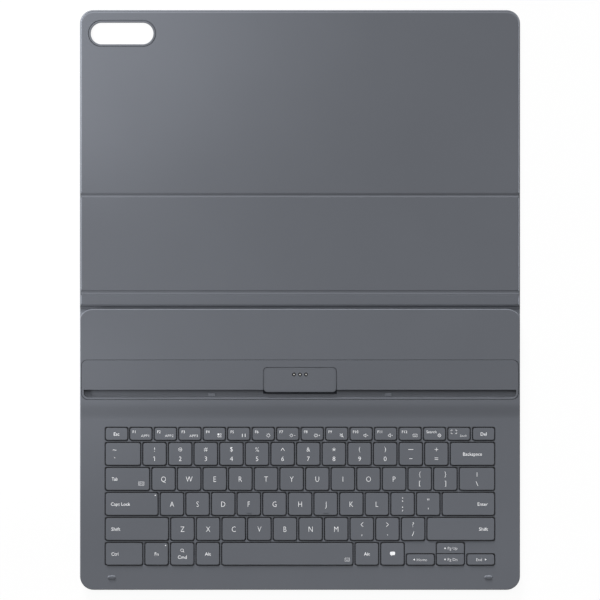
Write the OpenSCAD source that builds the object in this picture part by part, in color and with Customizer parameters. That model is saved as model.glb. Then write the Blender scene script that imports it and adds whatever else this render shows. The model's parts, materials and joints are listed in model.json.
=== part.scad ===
// Tablet keyboard case, lying open and flat with its inner face up.
// Millimetres. +X runs across the case, +Y from the keyboard to the camera end, +Z up.
// Four panels in a row: keyboard, spine, stand and cover, joined by three fabric creases.

/* [Panels] */
// Width of the cover, stand and spine
case_w = 328; // [310:0.5:350]
// How far the keyboard's shell stays inside the case's side
shell_inset = 0.25; // [0:0.05:1]
// Length of the keyboard panel, front to back
keyboard_l = 209.2; // [205:0.2:240]
// Length of the spine strip
spine_l = 7.05; // [6.5:0.05:12]
// Length of the stand panel
stand_l = 69.6; // [55:0.2:90]
// Length of the cover panel
cover_l = 136.4; // [120:0.2:160]
// Width of the crease between keyboard and spine
spine_crease_w = 3.4; // [3.2:0.05:5]
// Width of the crease between spine and stand
stand_crease_w = 3.35; // [3.2:0.05:5]
// Width of the crease between stand and cover
cover_crease_w = 3; // [2.5:0.05:5]
// Radius of the two cover corners
cover_r = 10; // [4:0.5:14]

/* [Panel sandwich] */
// Thickness of the outer skin
skin_t = 0.6; // [0.4:0.05:0.8]
// Thickness of the stiffener sheet
stiffener_t = 0.9; // [0.7:0.05:1.2]
// Thickness of the padded inner lining
lining_t = 0.9; // [0.6:0.05:1.2]
// Width of the skin's rim around the lining
rim_w = 1.2; // [0.8:0.1:2]
// How far the rim stays below the lining's face
rim_drop = 0.25; // [0:0.05:0.5]
// Gap between the rim and what it holds
sandwich_gap = 0.1; // [0.05:0.05:0.3]
// Corner radius of the linings
lining_r = 1; // [0.5:0.1:2]
// Thickness of the crease webs
web_t = 0.5; // [0.3:0.05:0.8]
// Height of the crease webs above the surface that the case lies on
web_lift = 0.1; // [0.05:0.05:0.2]

/* [Camera window] */
// Length of the camera window
window_w = 47.2; // [30:0.2:60]
// Width of the camera window
window_h = 16.5; // [10:0.1:24]
// Distance from the cover's left edge to the window
window_side = 7.8; // [5:0.1:20]
// Distance from the cover's far edge to the window
window_top = 9.2; // [5:0.1:20]
// Width of the ring around the window
ring_w = 1.6; // [1:0.1:2.5]
// How far the ring stands above the lining
ring_proud = 0.15; // [0:0.05:0.4]

/* [Panel magnets] */
// Length of a panel magnet
magnet_l = 24; // [10:1:30]
// Width of a panel magnet
magnet_w = 6; // [3:0.5:8]
// Clearance around a panel magnet in its pocket
magnet_gap = 0.1; // [0.05:0.05:0.3]
// Distance from the side of a panel to its outer magnets
magnet_side = 26; // [20:1:60]
// Distance from a panel's end to its magnet row
magnet_end = 14; // [12:1:24]
// Magnets in the cover's row
cover_magnet_count = 5; // [2:1:6]
// Magnets in the stand's row
stand_magnet_count = 4; // [2:1:6]

/* [Keyboard shell] */
// Corner radius at the keyboard's front
front_r = 10; // [4:0.5:12]
// Corner reach across the case at the keyboard's rear
rear_rx = 10; // [4:0.5:12]
// Corner reach along the case at the keyboard's rear
rear_ry = 7.5; // [4:0.5:10]
// Height of the rear deck
rear_deck_z = 4.6; // [4.2:0.05:6]
// Drop from the rear deck to the key deck
deck_drop = 0.6; // [0.2:0.05:0.8]
// Distance from the rear edge to the start of the drop
drop_start = 70.1; // [69.4:0.1:74]
// Length of the drop
drop_l = 11.9; // [8:0.1:12]
// Thickness of the base skin
base_t = 0.5; // [0.3:0.05:0.8]
// Thickness of the bottom case
bottom_t = 0.6; // [0.4:0.05:0.8]
// Wall of the top case
wall_t = 1.5; // [1.2:0.1:2]
// Thickness of the top case under the key deck
deck_t = 1; // [0.8:0.05:1.2]
// Gap between the bottom case and the top case wall
shell_gap = 0.1; // [0.05:0.05:0.3]

/* [Tray] */
// Distance from the keyboard's rear edge to the tray
tray_start = 38; // [32:0.5:38.5]
// Length of the tray, front to back
tray_l = 29.5; // [27:0.1:30.5]
// Distance from the keyboard's side to the tray
tray_side = 1.05; // [0.8:0.05:4]
// Corner radius at the tray's rear
tray_rear_r = 4.2; // [2:0.2:6]
// Corner radius at the tray's front
tray_front_r = 5; // [2:0.2:6]
// How far the tray's face lies below the rear deck
tray_drop = 0.3; // [0.1:0.05:0.6]
// Height of the ledge that carries the tray insert
ledge_z = 1.6; // [1.55:0.05:1.8]
// Width of that ledge
ledge_w = 1.2; // [0.8:0.1:2]
// Seam around the tray insert
tray_gap = 0.1; // [0.05:0.05:0.2]

/* [Tablet groove] */
// Width of the groove that holds the tablet's edge
groove_w = 6; // [5.8:0.1:6.4]
// Height of the groove's floor
groove_z = 2.1; // [2.05:0.05:2.8]
// Width of the lip in front of the groove
groove_lip = 1.3; // [1:0.1:2]
// Distance from the tray's side to the groove's end
groove_side = 1.6; // [1:0.1:4]
// Corner radius of the groove's ends
groove_r = 2.4; // [1:0.1:2.8]
// Length of a stop on the groove's floor
stop_l = 5; // [3:0.5:8]
// Width of a stop
stop_w = 2.3; // [1.5:0.1:3]
// Height of a stop
stop_h = 0.7; // [0.4:0.1:1]
// Distance of each stop from the middle of the case
stop_x = 65.7; // [45:0.5:120]
// Gap between a stop and the groove's front wall
stop_gap = 1.2; // [0.5:0.1:1.6]

/* [Connector block] */
// Length of the tilting connector block
block_w = 54.3; // [45:0.1:60]
// Depth of the connector block
block_d = 18.7; // [16:0.1:20]
// Corner radius of the connector block
block_r = 3; // [1:0.1:4]
// How far the block reaches over the groove
block_reach = 2.25; // [1.5:0.05:2.4]
// Thickness of the block
block_t = 1.6; // [1.6:0.05:1.8]
// Thickness of the part of the block that reaches over the groove
block_lip_t = 0.6; // [0.4:0.05:0.65]
// Seam around the block in its recess
block_gap = 0.3; // [0.2:0.05:0.5]
// Gap under the block
block_under = 0.1; // [0.05:0.05:0.2]
// Height of the block's pivot axis
pivot_z = 3.75; // [3.7:0.01:3.8]
// Distance from the groove's rear wall back to the pivot axis
pivot_back = 0.7; // [0.65:0.01:0.8]
// Distance from the pivot axis back to the block's full thickness
pivot_clear = 0.7; // [0.7:0.05:1]
// Diameter of a pivot pin
pivot_d = 0.7; // [0.5:0.05:0.7]
// Length of a pivot pin
pivot_l = 5; // [3:0.5:8]
// Wall of the knuckle around a pivot pin
knuckle_wall = 0.3; // [0.2:0.05:0.3]
// Running clearance around a pivot pin, on the radius
pivot_gap = 0.05; // [0.02:0.01:0.06]
// Depth of the relief in the groove in front of the groove's rear wall
relief_d = 2.9; // [2.7:0.1:3.2]

/* [Contact pins] */
// Diameter of a contact pin's tip
pin_d = 1.2; // [0.8:0.1:1.4]
// Diameter of a contact pin's collar
collar_d = 2; // [1.8:0.1:2.4]
// Thickness of a contact pin's collar
collar_t = 0.35; // [0.3:0.05:0.4]
// Running clearance around a contact pin, on the radius
pin_gap = 0.1; // [0.05:0.01:0.15]
// How far a tip stands above the block
pin_proud = 0.4; // [0.3:0.05:0.4]
// Distance between contact pins
pin_pitch = 4.5; // [3:0.1:6]
// Distance from the block's rear edge to the contact pins
pin_back = 5; // [3:0.1:8]
// Thickness of the pin board in the block
pin_board_t = 0.25; // [0.2:0.05:0.3]

/* [Key field] */
// Distance from the keyboard's side to the key field
field_side = 18.35; // [14:0.05:24]
// Distance from the keyboard's front edge to the key field
field_front = 18; // [16:0.5:20]
// Distance from the key field to the tray
field_rear = 20.1; // [18:0.1:26]
// Keys that fit side by side across the field, wide ones counted as shares of a key
field_units = 15.28; // [15:0.01:16]
// Web between key openings
key_web = 0.8; // [0.6:0.05:1.2]
// Depth of a function key opening
function_h = 10.4; // [9:0.1:10.8]
// Gap around a keycap in its opening
key_gap = 0.75; // [0.5:0.05:0.9]
// Gap between the two half keys that share an opening
split_gap = 0.6; // [0.4:0.05:0.8]
// Width of the backquote key in key pitches
tilde_units = 1.455; // [1.3:0.005:1.6]
// Width of the Tab key in key pitches
tab_units = 1.805; // [1.6:0.005:2]
// Width of the Caps Lock key in key pitches
caps_units = 2.135; // [1.9:0.005:2.3]
// Width of the left Shift key in key pitches
shift_units = 2.545; // [2.2:0.005:2.7]
// Width of the Ctrl key in key pitches
ctrl_units = 1.535; // [1.3:0.005:1.7]
// Width of an arrow key in key pitches
arrow_units = 1.18; // [1:0.005:1.3]
// Corner radius of a keycap
key_r = 1.6; // [0.8:0.1:2]
// Corner radius of the half keys where they face each other
split_r = 0.3; // [0.1:0.05:0.8]
// Thickness of a keycap
cap_t = 1.3; // [1:0.05:1.4]
// How far a keycap stands above the key deck
cap_proud = 0.4; // [0.2:0.05:0.5]

/* [Under the keys] */
// Thickness of the support plate
plate_t = 0.3; // [0.2:0.05:0.4]
// Thickness of the contact membrane
membrane_t = 0.25; // [0.15:0.05:0.3]
// How far the plate reaches past the key field
plate_margin = 2; // [1:0.5:4]
// How far the membrane stays inside the plate's edge
membrane_inset = 0.5; // [0.2:0.1:1]
// Corner radius of the plate and the membrane
plate_r = 3; // [1:0.5:4]
// Distance between a dome and the scissor frame around it
dome_side = 0.3; // [0.2:0.05:0.6]
// Gap between a dome and its keycap
dome_gap = 0.05; // [0.02:0.01:0.1]
// Length of a scissor frame
scissor_w = 10; // [8:0.1:12]
// How far a scissor frame stays inside a half key's front and rear edges
scissor_inset = 0.6; // [0.5:0.05:1]
// Width of a scissor frame's bars
scissor_bar = 0.8; // [0.6:0.05:0.9]
// Gap between a scissor frame and its keycap
scissor_gap = 0.1; // [0.05:0.05:0.3]
// Width of the membrane's tail
tail_w = 10; // [6:1:14]
// Distance from the connector block's side to the tail
tail_side = 2; // [1:0.5:4]

/* [Electronics and fittings] */
// Length of the controller board
board_w = 60; // [50:1:90]
// Depth of the controller board
board_d = 18; // [12:1:22]
// Thickness of the controller board
board_t = 0.6; // [0.4:0.1:0.8]
// Side of a chip on the controller board
chip_w = 6; // [4:0.5:8]
// Height of a chip
chip_t = 0.7; // [0.5:0.1:0.9]
// Distance from the middle of the case to the middle of the board
board_x = 12; // [8:1:16]
// Thickness of the flat cable
flex_t = 0.15; // [0.1:0.05:0.2]
// Width of the flat cable
flex_w = 8; // [5:0.5:10]
// Distance of the flat cable from the middle of the case
flex_x = 8; // [0:0.5:12]
// Distance from the pivot axis back to the cable's rise into the block
flex_back = 3; // [2:0.5:5]
// How far the cable and the controller board overlap
flex_overlap = 2; // [1:0.5:4]
// Distance from the tray to the controller board
board_back = 2.5; // [1.6:0.1:5]
// Length of a tray magnet
tray_magnet_l = 24; // [16:1:26]
// Width of a tray magnet
tray_magnet_w = 8; // [5:0.5:10]
// Thickness of a tray magnet
tray_magnet_t = 1.4; // [1:0.1:1.6]
// Distance from the connector block to the nearest tray magnet
tray_magnet_start = 8; // [6:0.5:12]
// Distance from the tray's end to its outer magnet
tray_magnet_end = 7.5; // [5:0.5:12]
// Tray magnets on each side of the connector block
tray_magnet_count = 4; // [2:1:4]
// Width of a front bumper
bumper_w = 5.8; // [4:0.1:8]
// Depth of a front bumper
bumper_l = 2.4; // [1.6:0.1:3]
// Height of a front bumper above the deck
bumper_h = 0.6; // [0.4:0.1:0.6]
// How deep a front bumper is set into the deck
bumper_seat = 0.3; // [0.2:0.05:0.4]
// Gap around a front bumper in its seat
bumper_gap = 0.05; // [0.02:0.01:0.1]
// Distance of each front bumper from the keyboard's side
bumper_side = 23.45; // [14:0.05:30]
// Distance from the keyboard's front edge to the bumpers
bumper_front = 9.4; // [7:0.1:11]

/* [Hidden] */
$fn = 32;

cut = 1;            // how far a cutting solid runs past what it cuts
arc_steps = 4;      // straight pieces in a rounded corner
hair = 0.05;        // smallest gap that keeps two sealed pieces apart
function_count = 16;

// Along the case, from the front of the keyboard to the far end of the cover
total_l = keyboard_l + spine_crease_w + spine_l + stand_crease_w + stand_l + cover_crease_w + cover_l;
front_y = -total_l / 2;
rear_y = front_y + keyboard_l;
keyboard_w = case_w - 2 * shell_inset;
spine_y = [rear_y + spine_crease_w, rear_y + spine_crease_w + spine_l];
stand_y = [spine_y[1] + stand_crease_w, spine_y[1] + stand_crease_w + stand_l];
cover_y = [stand_y[1] + cover_crease_w, stand_y[1] + cover_crease_w + cover_l];

// Up through a panel
lining_z = skin_t + stiffener_t;
panel_t = lining_z + lining_t;
rim_z = panel_t - rim_drop;

window_x = -case_w / 2 + window_side + window_w / 2;
window_y = cover_y[1] - window_top - window_h / 2;

// Up through the keyboard
floor_z = base_t + bottom_t;
deck_z = rear_deck_z - deck_drop;
plate_z = floor_z;
membrane_z = plate_z + plate_t;
dome_z = membrane_z + membrane_t;
cap_top = deck_z + cap_proud;
cap_z = cap_top - cap_t;
tray_z = rear_deck_z - tray_drop;

// Tray and groove
tray_x = keyboard_w / 2 - tray_side;
tray_y = [rear_y - tray_start - tray_l, rear_y - tray_start];
groove_y = [tray_y[0] + groove_lip, tray_y[0] + groove_lip + groove_w];
groove_x = tray_x - groove_side;

// Connector block
block_y = [groove_y[1] - block_reach, groove_y[1] - block_reach + block_d];
block_z = rear_deck_z - block_t;
recess_z = block_z - block_under;
pivot_y = groove_y[1] + pivot_back;
thick_y = pivot_y + pivot_clear;
pin_y = block_y[1] - pin_back;
pin_board_z = block_z + pin_board_t;
collar_z = block_z + block_t - pin_proud - collar_t;
pin_tail_z = pin_board_z + pin_proud + hair;

// Key field
field_w = keyboard_w - 2 * field_side;
field_x = [-field_w / 2, field_w / 2];
field_y = front_y + field_front;
function_y = tray_y[0] - field_rear - function_h;
row_pitch = (function_y - field_y) / 5;
key_pitch = (field_w + key_web) / field_units;
open_h = row_pitch - key_web;
half_cap_h = (open_h - 2 * key_gap - split_gap) / 2;
half_open_h = half_cap_h + 2 * key_gap;
function_pitch = (field_w + key_web) / function_count;
arrow_w = arrow_units * key_pitch - key_web;
scissor_h = half_cap_h - 2 * scissor_inset;
dome_d = scissor_h - 2 * (scissor_bar + dome_side);
tail_x = block_w / 2 + tail_side + tail_w / 2;

function row_y(row) = field_y + row * row_pitch;
function bank_x(first, k) = field_x[0] + (first + k) * key_pitch;
// An opening is [left, front, width, depth]
function first_key(first, row) = [field_x[0], row_y(row), first * key_pitch - key_web, open_h];
function bank_key(first, row, k) = [bank_x(first, k), row_y(row), key_pitch - key_web, open_h];
function bank(first, row, n) = [for (k = [0 : n - 1]) bank_key(first, row, k)];
function last_key(first, row, n) =
  [bank_x(first, n), row_y(row), field_x[1] - bank_x(first, n), open_h];
function function_key(k) =
  [field_x[0] + k * function_pitch, function_y, function_pitch - key_web, function_h];
function arrow_x(k) = field_x[1] - arrow_w - k * (arrow_w + key_web);
function right_key(k) = [arrow_x(2) - k * key_pitch, row_y(0), key_pitch - key_web, open_h];

esc_open = function_key(0);
function_opens = [for (k = [1 : function_count - 2]) function_key(k)];
del_open = function_key(function_count - 1);
tilde_open = first_key(tilde_units, 4);
number_opens = bank(tilde_units, 4, 12);
backspace_open = last_key(tilde_units, 4, 12);
tab_open = first_key(tab_units, 3);
upper_opens = bank(tab_units, 3, 12);
backslash_open = last_key(tab_units, 3, 12);
caps_open = first_key(caps_units, 2);
home_opens = bank(caps_units, 2, 11);
enter_open = last_key(caps_units, 2, 11);
shift_open = first_key(shift_units, 1);
lower_opens = bank(shift_units, 1, 10);
right_shift_open = last_key(shift_units, 1, 10);
ctrl_open = first_key(ctrl_units, 0);
fn_open = bank_key(ctrl_units, 0, 0);
cmd_open = bank_key(ctrl_units, 0, 1);
alt_open = bank_key(ctrl_units, 0, 2);
space_open = [bank_x(ctrl_units, 3), row_y(0), right_key(2)[0] - key_web - bank_x(ctrl_units, 3), open_h];
right_alt_open = right_key(2);
assistant_open = right_key(1);
home_open = [arrow_x(2), row_y(0), arrow_w, half_open_h];
page_open = [arrow_x(1), row_y(0), arrow_w, open_h];
end_open = [arrow_x(0), row_y(0), arrow_w, half_open_h];
page_down_open = [arrow_x(1), row_y(0), arrow_w, half_open_h];
page_up_open = [arrow_x(1), row_y(0) + half_cap_h + split_gap, arrow_w, half_open_h];

plain_opens = concat(
  [esc_open], function_opens, [del_open, tilde_open], number_opens,
  [backspace_open, tab_open], upper_opens, [backslash_open, caps_open], home_opens,
  [enter_open, shift_open], lower_opens, [right_shift_open, ctrl_open, fn_open, cmd_open, alt_open],
  [space_open, right_alt_open, assistant_open, home_open, end_open]
);
all_opens = concat(plain_opens, [page_open]);
all_keys = concat(plain_opens, [page_down_open, page_up_open]);

shell_colour = [0.43, 0.45, 0.48];
key_colour = [0.41, 0.43, 0.46];
sheet_colour = [0.75, 0.72, 0.6];
steel_colour = [0.7, 0.71, 0.73];
board_colour = [0.1, 0.35, 0.2];

// Points of one rounded corner, counter-clockwise from start_a
function corner(cx, cy, rx, ry, start_a) = [
  for (i = [0 : arc_steps])
    let (a = start_a + 90 * i / arc_steps)
      [cx + rx * cos(a), cy + ry * sin(a)]
];

// Outline of a rectangle with one corner shape at its front and one at its rear
function outline(x, y, front, rear) = concat(
  corner(x[1] - rear[0], y[1] - rear[1], rear[0], rear[1], 0),
  corner(x[0] + rear[0], y[1] - rear[1], rear[0], rear[1], 90),
  corner(x[0] + front[0], y[0] + front[1], front[0], front[1], 180),
  corner(x[1] - front[0], y[0] + front[1], front[0], front[1], 270)
);

// A plate between two heights with the outline above
module plate(x, y, z, front_r, rear_r) {
  translate([0, 0, z[0]])
    linear_extrude(z[1] - z[0])
      polygon(outline(x, y, front_r, rear_r));
}

module round_plate(x, y, z, r) {
  plate(x, y, z, [r, r], [r, r]);
}

module box(x, y, z) {
  translate([x[0], y[0], z[0]])
    cube([x[1] - x[0], y[1] - y[0], z[1] - z[0]]);
}

// A bar with round ends, centred on cx, cy
module stadium(cx, cy, w, h, z) {
  translate([cx, cy, z[0]])
    linear_extrude(z[1] - z[0])
      union() {
        square([w - h, h], center = true);
        for (s = [-1, 1])
          translate([s * (w - h) / 2, 0])
            circle(d = h, $fn = 64);
      }
}

module window_hole(grow) {
  stadium(window_x, window_y, window_w + 2 * grow, window_h + 2 * grow, [-cut, panel_t + cut]);
}

// Skin of one panel: a sheet with a rim at its sides, and at its far end if it closes the case
module panel_skin(y, r, closed) {
  half_w = case_w / 2;
  far_y = closed ? y[1] - rim_w : y[1] + cut;
  inner_r = closed ? r - rim_w : hair;
  difference() {
    plate([-half_w, half_w], y, [0, rim_z], [hair, hair], [r, r]);
    plate([-half_w + rim_w, half_w - rim_w], [y[0] - cut, far_y], [skin_t, rim_z + cut],
      [hair, hair], [inner_r, inner_r]);
  }
}

// Flat sheet inside a panel's rim
module panel_sheet(y, z, near_r, far_r, closed) {
  half_w = case_w / 2 - rim_w - sandwich_gap;
  far_y = closed ? y[1] - rim_w - sandwich_gap : y[1];
  plate([-half_w, half_w], [y[0], far_y], z, [near_r, near_r], [far_r, far_r]);
}

// Row of magnets, or their pockets when grow is the clearance
module magnet_row(y, count, grow, z) {
  reach = case_w / 2 - magnet_side - magnet_l / 2;
  for (k = [0 : count - 1]) {
    x = -reach + 2 * reach * k / (count - 1);
    box([x - magnet_l / 2 - grow, x + magnet_l / 2 + grow],
      [y - magnet_w / 2 - grow, y + magnet_w / 2 + grow], z);
  }
}

cover_magnet_y = cover_y[0] + magnet_end;
stand_magnet_y = stand_y[1] - magnet_end;
magnet_z = [skin_t, lining_z];
pocket_z = [skin_t - cut, lining_z + cut];

module cover_outer_skin() {
  color(shell_colour)
    difference() {
      panel_skin(cover_y, cover_r, true);
      window_hole(ring_w);
    }
}

module cover_stiffener() {
  color(sheet_colour)
    difference() {
      panel_sheet(cover_y, magnet_z, lining_r, cover_r - rim_w - sandwich_gap, true);
      window_hole(ring_w + sandwich_gap);
      magnet_row(cover_magnet_y, cover_magnet_count, magnet_gap, pocket_z);
    }
}

module cover_magnets() {
  color(steel_colour)
    magnet_row(cover_magnet_y, cover_magnet_count, 0, magnet_z);
}

module cover_lining() {
  color(shell_colour)
    difference() {
      panel_sheet(cover_y, [lining_z, panel_t], lining_r, cover_r - rim_w - sandwich_gap, true);
      window_hole(ring_w);
    }
}

module camera_window_ring() {
  color(key_colour)
    difference() {
      stadium(window_x, window_y, window_w + 2 * ring_w, window_h + 2 * ring_w,
        [web_lift, panel_t + ring_proud]);
      window_hole(0);
    }
}

module stand_outer_skin() {
  color(shell_colour)
    panel_skin(stand_y, hair, false);
}

module stand_stiffener() {
  color(sheet_colour)
    difference() {
      panel_sheet(stand_y, magnet_z, lining_r, lining_r, false);
      magnet_row(stand_magnet_y, stand_magnet_count, magnet_gap, pocket_z);
    }
}

module stand_magnets() {
  color(steel_colour)
    magnet_row(stand_magnet_y, stand_magnet_count, 0, magnet_z);
}

module stand_lining() {
  color(shell_colour)
    panel_sheet(stand_y, [lining_z, panel_t], lining_r, lining_r, false);
}

module spine_outer_skin() {
  color(shell_colour)
    panel_skin(spine_y, hair, false);
}

module spine_stiffener() {
  color(sheet_colour)
    panel_sheet(spine_y, magnet_z, lining_r, lining_r, false);
}

module spine_lining() {
  color(shell_colour)
    panel_sheet(spine_y, [lining_z, panel_t], lining_r, lining_r, false);
}

// Thin fabric across a crease
module crease_web(y) {
  color(shell_colour)
    box([-case_w / 2, case_w / 2], y, [web_lift, web_lift + web_t]);
}

module base_skin() {
  color(shell_colour)
    plate([-case_w / 2, case_w / 2], [front_y, rear_y], [0, base_t], [front_r, front_r], [hair, hair]);
}

// Outline of the keyboard panel drawn in by an inset
module keyboard_plate(inset, z) {
  half_w = keyboard_w / 2 - inset;
  plate([-half_w, half_w], [front_y + inset, rear_y - inset], z,
    [front_r - inset, front_r - inset], [rear_rx - inset, rear_ry - inset]);
}

module bottom_case() {
  color(key_colour)
    keyboard_plate(wall_t + shell_gap, [base_t, floor_z]);
}

// Side profile of the deck, with an S-shaped drop from the rear deck to the key deck
function drop_share(t) = t * t * (3 - 2 * t);
drop_y = rear_y - drop_start;
drop_steps = 8;
deck_profile = concat(
  [[front_y - cut, 0], [rear_y + cut, 0], [rear_y + cut, rear_deck_z]],
  [for (i = [0 : drop_steps])
    [drop_y - drop_l * i / drop_steps, rear_deck_z - deck_drop * drop_share(i / drop_steps)]],
  [[front_y - cut, deck_z]]
);

module deck_envelope() {
  rotate([90, 0, 90])
    translate([0, 0, -case_w])
      linear_extrude(2 * case_w)
        polygon(deck_profile);
}

// Hollow of the top case on one side of the tray
module shell_hollow(y, front_r, rear_r) {
  half_w = keyboard_w / 2 - wall_t;
  plate([-half_w, half_w], y, [base_t - cut, deck_z - deck_t], front_r, rear_r);
}

module key_opening(o) {
  round_plate([o[0], o[0] + o[2]], [o[1], o[1] + o[3]], [deck_z - deck_t - cut, rear_deck_z], key_r);
}

module bumper(grow, z) {
  for (s = [-1, 1])
    stadium(s * (keyboard_w / 2 - bumper_side), front_y + bumper_front,
      bumper_w + 2 * grow, bumper_l + 2 * grow, z);
}

// Slots in the shell's cross walls for the flat cable and the membrane's tail
module cable_slots() {
  slot_y = [tray_y[0] - wall_t - cut, tray_y[1] + wall_t + cut];
  box([flex_x - flex_w / 2 - hair, flex_x + flex_w / 2 + hair],
    [tray_y[1] - ledge_w - cut, slot_y[1]], [base_t - cut, ledge_z]);
  box([tail_x - tail_w / 2 - hair, tail_x + tail_w / 2 + hair], slot_y, [base_t - cut, dome_z + hair]);
}

module top_case() {
  ledge = tray_x - ledge_w;
  cavity_r = [front_r - wall_t, front_r - wall_t];
  color(shell_colour)
    difference() {
      intersection() {
        keyboard_plate(0, [base_t, rear_deck_z]);
        deck_envelope();
      }
      keyboard_plate(wall_t, [base_t - cut, floor_z]);
      shell_hollow([tray_y[1] + wall_t, rear_y - wall_t], [hair, hair],
        [rear_rx - wall_t, rear_ry - wall_t]);
      shell_hollow([front_y + wall_t, tray_y[0] - wall_t], cavity_r, [hair, hair]);
      box([-ledge, ledge], [tray_y[0] + ledge_w, tray_y[1] - ledge_w], [base_t - cut, ledge_z + cut]);
      plate([-tray_x, tray_x], tray_y, [ledge_z, rear_deck_z + cut],
        [tray_front_r, tray_front_r], [tray_rear_r, tray_rear_r]);
      cable_slots();
      for (o = all_opens) {
        key_opening(o);
      }
      bumper(bumper_gap, [deck_z - bumper_seat, rear_deck_z + cut]);
    }
}

// Middle of tray magnet k on side s
tray_magnet_first = block_w / 2 + tray_magnet_start + tray_magnet_l / 2;
tray_magnet_last = tray_x - tray_magnet_end - tray_magnet_l / 2;
tray_magnet_pitch = (tray_magnet_last - tray_magnet_first) / (tray_magnet_count - 1);
function tray_magnet_x(s, k) = s * (tray_magnet_first + k * tray_magnet_pitch);
tray_magnet_y = (groove_y[1] + tray_y[1]) / 2;

module tray_magnets(grow, z) {
  for (s = [-1, 1]) {
    for (k = [0 : tray_magnet_count - 1]) {
      x = tray_magnet_x(s, k);
      box([x - tray_magnet_l / 2 - grow, x + tray_magnet_l / 2 + grow],
        [tray_magnet_y - tray_magnet_w / 2 - grow, tray_magnet_y + tray_magnet_w / 2 + grow], z);
    }
  }
}

// Knuckles at the block's ends, which the pins are pressed into
module knuckles() {
  for (s = [-1, 1])
    translate([s * (block_w - pivot_l / 2) / 2, pivot_y, pivot_z])
      rotate([0, 90, 0])
        cylinder(d = pivot_d + 2 * knuckle_wall, h = pivot_l / 2, center = true);
}

module pivot_pins(grow, extra) {
  for (s = [-1, 1])
    translate([s * block_w / 2, pivot_y, pivot_z])
      rotate([0, 90, 0])
        cylinder(d = pivot_d + 2 * grow, h = pivot_l + 2 * extra, center = true);
}

module tray_insert() {
  face_x = tray_x - tray_gap;
  recess_x = block_w / 2 + block_gap;
  color(key_colour)
    difference() {
      plate([-face_x, face_x], [tray_y[0] + tray_gap, tray_y[1] - tray_gap], [ledge_z, tray_z],
        [tray_front_r, tray_front_r], [tray_rear_r, tray_rear_r]);
      round_plate([-groove_x, groove_x], groove_y, [groove_z, tray_z + cut], groove_r);
      // recess that the connector block lies in, open to the groove
      plate([-recess_x, recess_x], [groove_y[1] - block_reach, block_y[1] + block_gap],
        [recess_z, tray_z + cut], [hair, hair], [block_r, block_r]);
      // relief that the block's front dips into as it tilts
      box([-recess_x, recess_x], [groove_y[1] - relief_d, groove_y[1]], [ledge_z - cut, groove_z + cut]);
      pivot_pins(pivot_gap, hair);
      tray_magnets(magnet_gap, [ledge_z - cut, ledge_z + tray_magnet_t]);
      // slit for the flat cable
      box([flex_x - flex_w / 2 - magnet_gap, flex_x + flex_w / 2 + magnet_gap],
        [flex_y[0] - magnet_gap, flex_y[0] + flex_t + magnet_gap], [ledge_z - cut, recess_z + cut]);
    }
}

board_y = tray_y[1] + board_back;
flex_y = [pivot_y + flex_back, board_y + flex_overlap];
flex_z = floor_z + hair;

module pogo_flex_cable() {
  x = [flex_x - flex_w / 2, flex_x + flex_w / 2];
  color([0.75, 0.5, 0.15])
    union() {
      box(x, flex_y, [flex_z, flex_z + flex_t]);
      box(x, [flex_y[0], flex_y[0] + flex_t], [flex_z, block_z - hair]);
    }
}

board_z = flex_z + flex_t;

module controller_board() {
  x = [board_x - board_w / 2, board_x + board_w / 2];
  color(board_colour)
    union() {
      box(x, [board_y, board_y + board_d], [board_z, board_z + board_t]);
      for (k = [1 : 3])
        translate([x[0] + k * board_w / 4 - chip_w / 2, board_y + board_d / 2 - chip_w / 2, board_z])
          cube([chip_w, chip_w, board_t + chip_t]);
    }
}

module keyboard_magnets() {
  front_magnet_y = front_y + bumper_front;
  front_magnet_x = keyboard_w / 2 - bumper_side - bumper_w - magnet_l;
  color(steel_colour)
    union() {
      tray_magnets(0, [ledge_z, ledge_z + tray_magnet_t - magnet_gap]);
      for (s = [-1, 1])
        box([s * front_magnet_x - magnet_l / 2, s * front_magnet_x + magnet_l / 2],
          [front_magnet_y - magnet_w / 2, front_magnet_y + magnet_w / 2],
          [floor_z, deck_z - deck_t - hair]);
    }
}

module support_plate() {
  color(steel_colour)
    round_plate([field_x[0] - plate_margin, field_x[1] + plate_margin],
      [field_y - plate_margin, function_y + function_h + plate_margin],
      [plate_z, plate_z + plate_t], plate_r);
}

module membrane_sheet() {
  reach = plate_margin - membrane_inset;
  y = [field_y - reach, function_y + function_h + reach];
  color([0.85, 0.85, 0.8])
    union() {
      round_plate([field_x[0] - reach, field_x[1] + reach], y, [membrane_z, dome_z], plate_r);
      box([tail_x - tail_w / 2, tail_x + tail_w / 2], [y[1] - cut, board_y - hair],
        [membrane_z, min(dome_z, ledge_z) - hair]);
    }
}

module rubber_domes() {
  color([0.9, 0.9, 0.88])
    for (o = all_keys)
      translate([o[0] + o[2] / 2, o[1] + o[3] / 2, dome_z])
        cylinder(d = dome_d, h = cap_z - dome_gap - dome_z);
}

module key_scissors() {
  w = scissor_w / 2;
  h = scissor_h / 2;
  z = [dome_z, cap_z - scissor_gap];
  color([0.8, 0.8, 0.82])
    for (o = all_keys)
      translate([o[0] + o[2] / 2, o[1] + o[3] / 2, 0])
        difference() {
          box([-w, w], [-h, h], z);
          box([-w + scissor_bar, w - scissor_bar], [-h + scissor_bar, h - scissor_bar],
            [z[0] - cut, z[1] + cut]);
        }
}

module front_bumpers() {
  color(shell_colour)
    bumper(0, [deck_z - bumper_seat, deck_z + bumper_h]);
}

module tray_stops() {
  y = groove_y[0] + stop_gap;
  color(shell_colour)
    for (s = [-1, 1])
      box([s * stop_x - stop_l / 2, s * stop_x + stop_l / 2], [y, y + stop_w],
        [groove_z, groove_z + stop_h]);
}

// Middle of contact pin k, counted from the left
function pin_x(k) = (k - 1) * pin_pitch;

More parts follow.
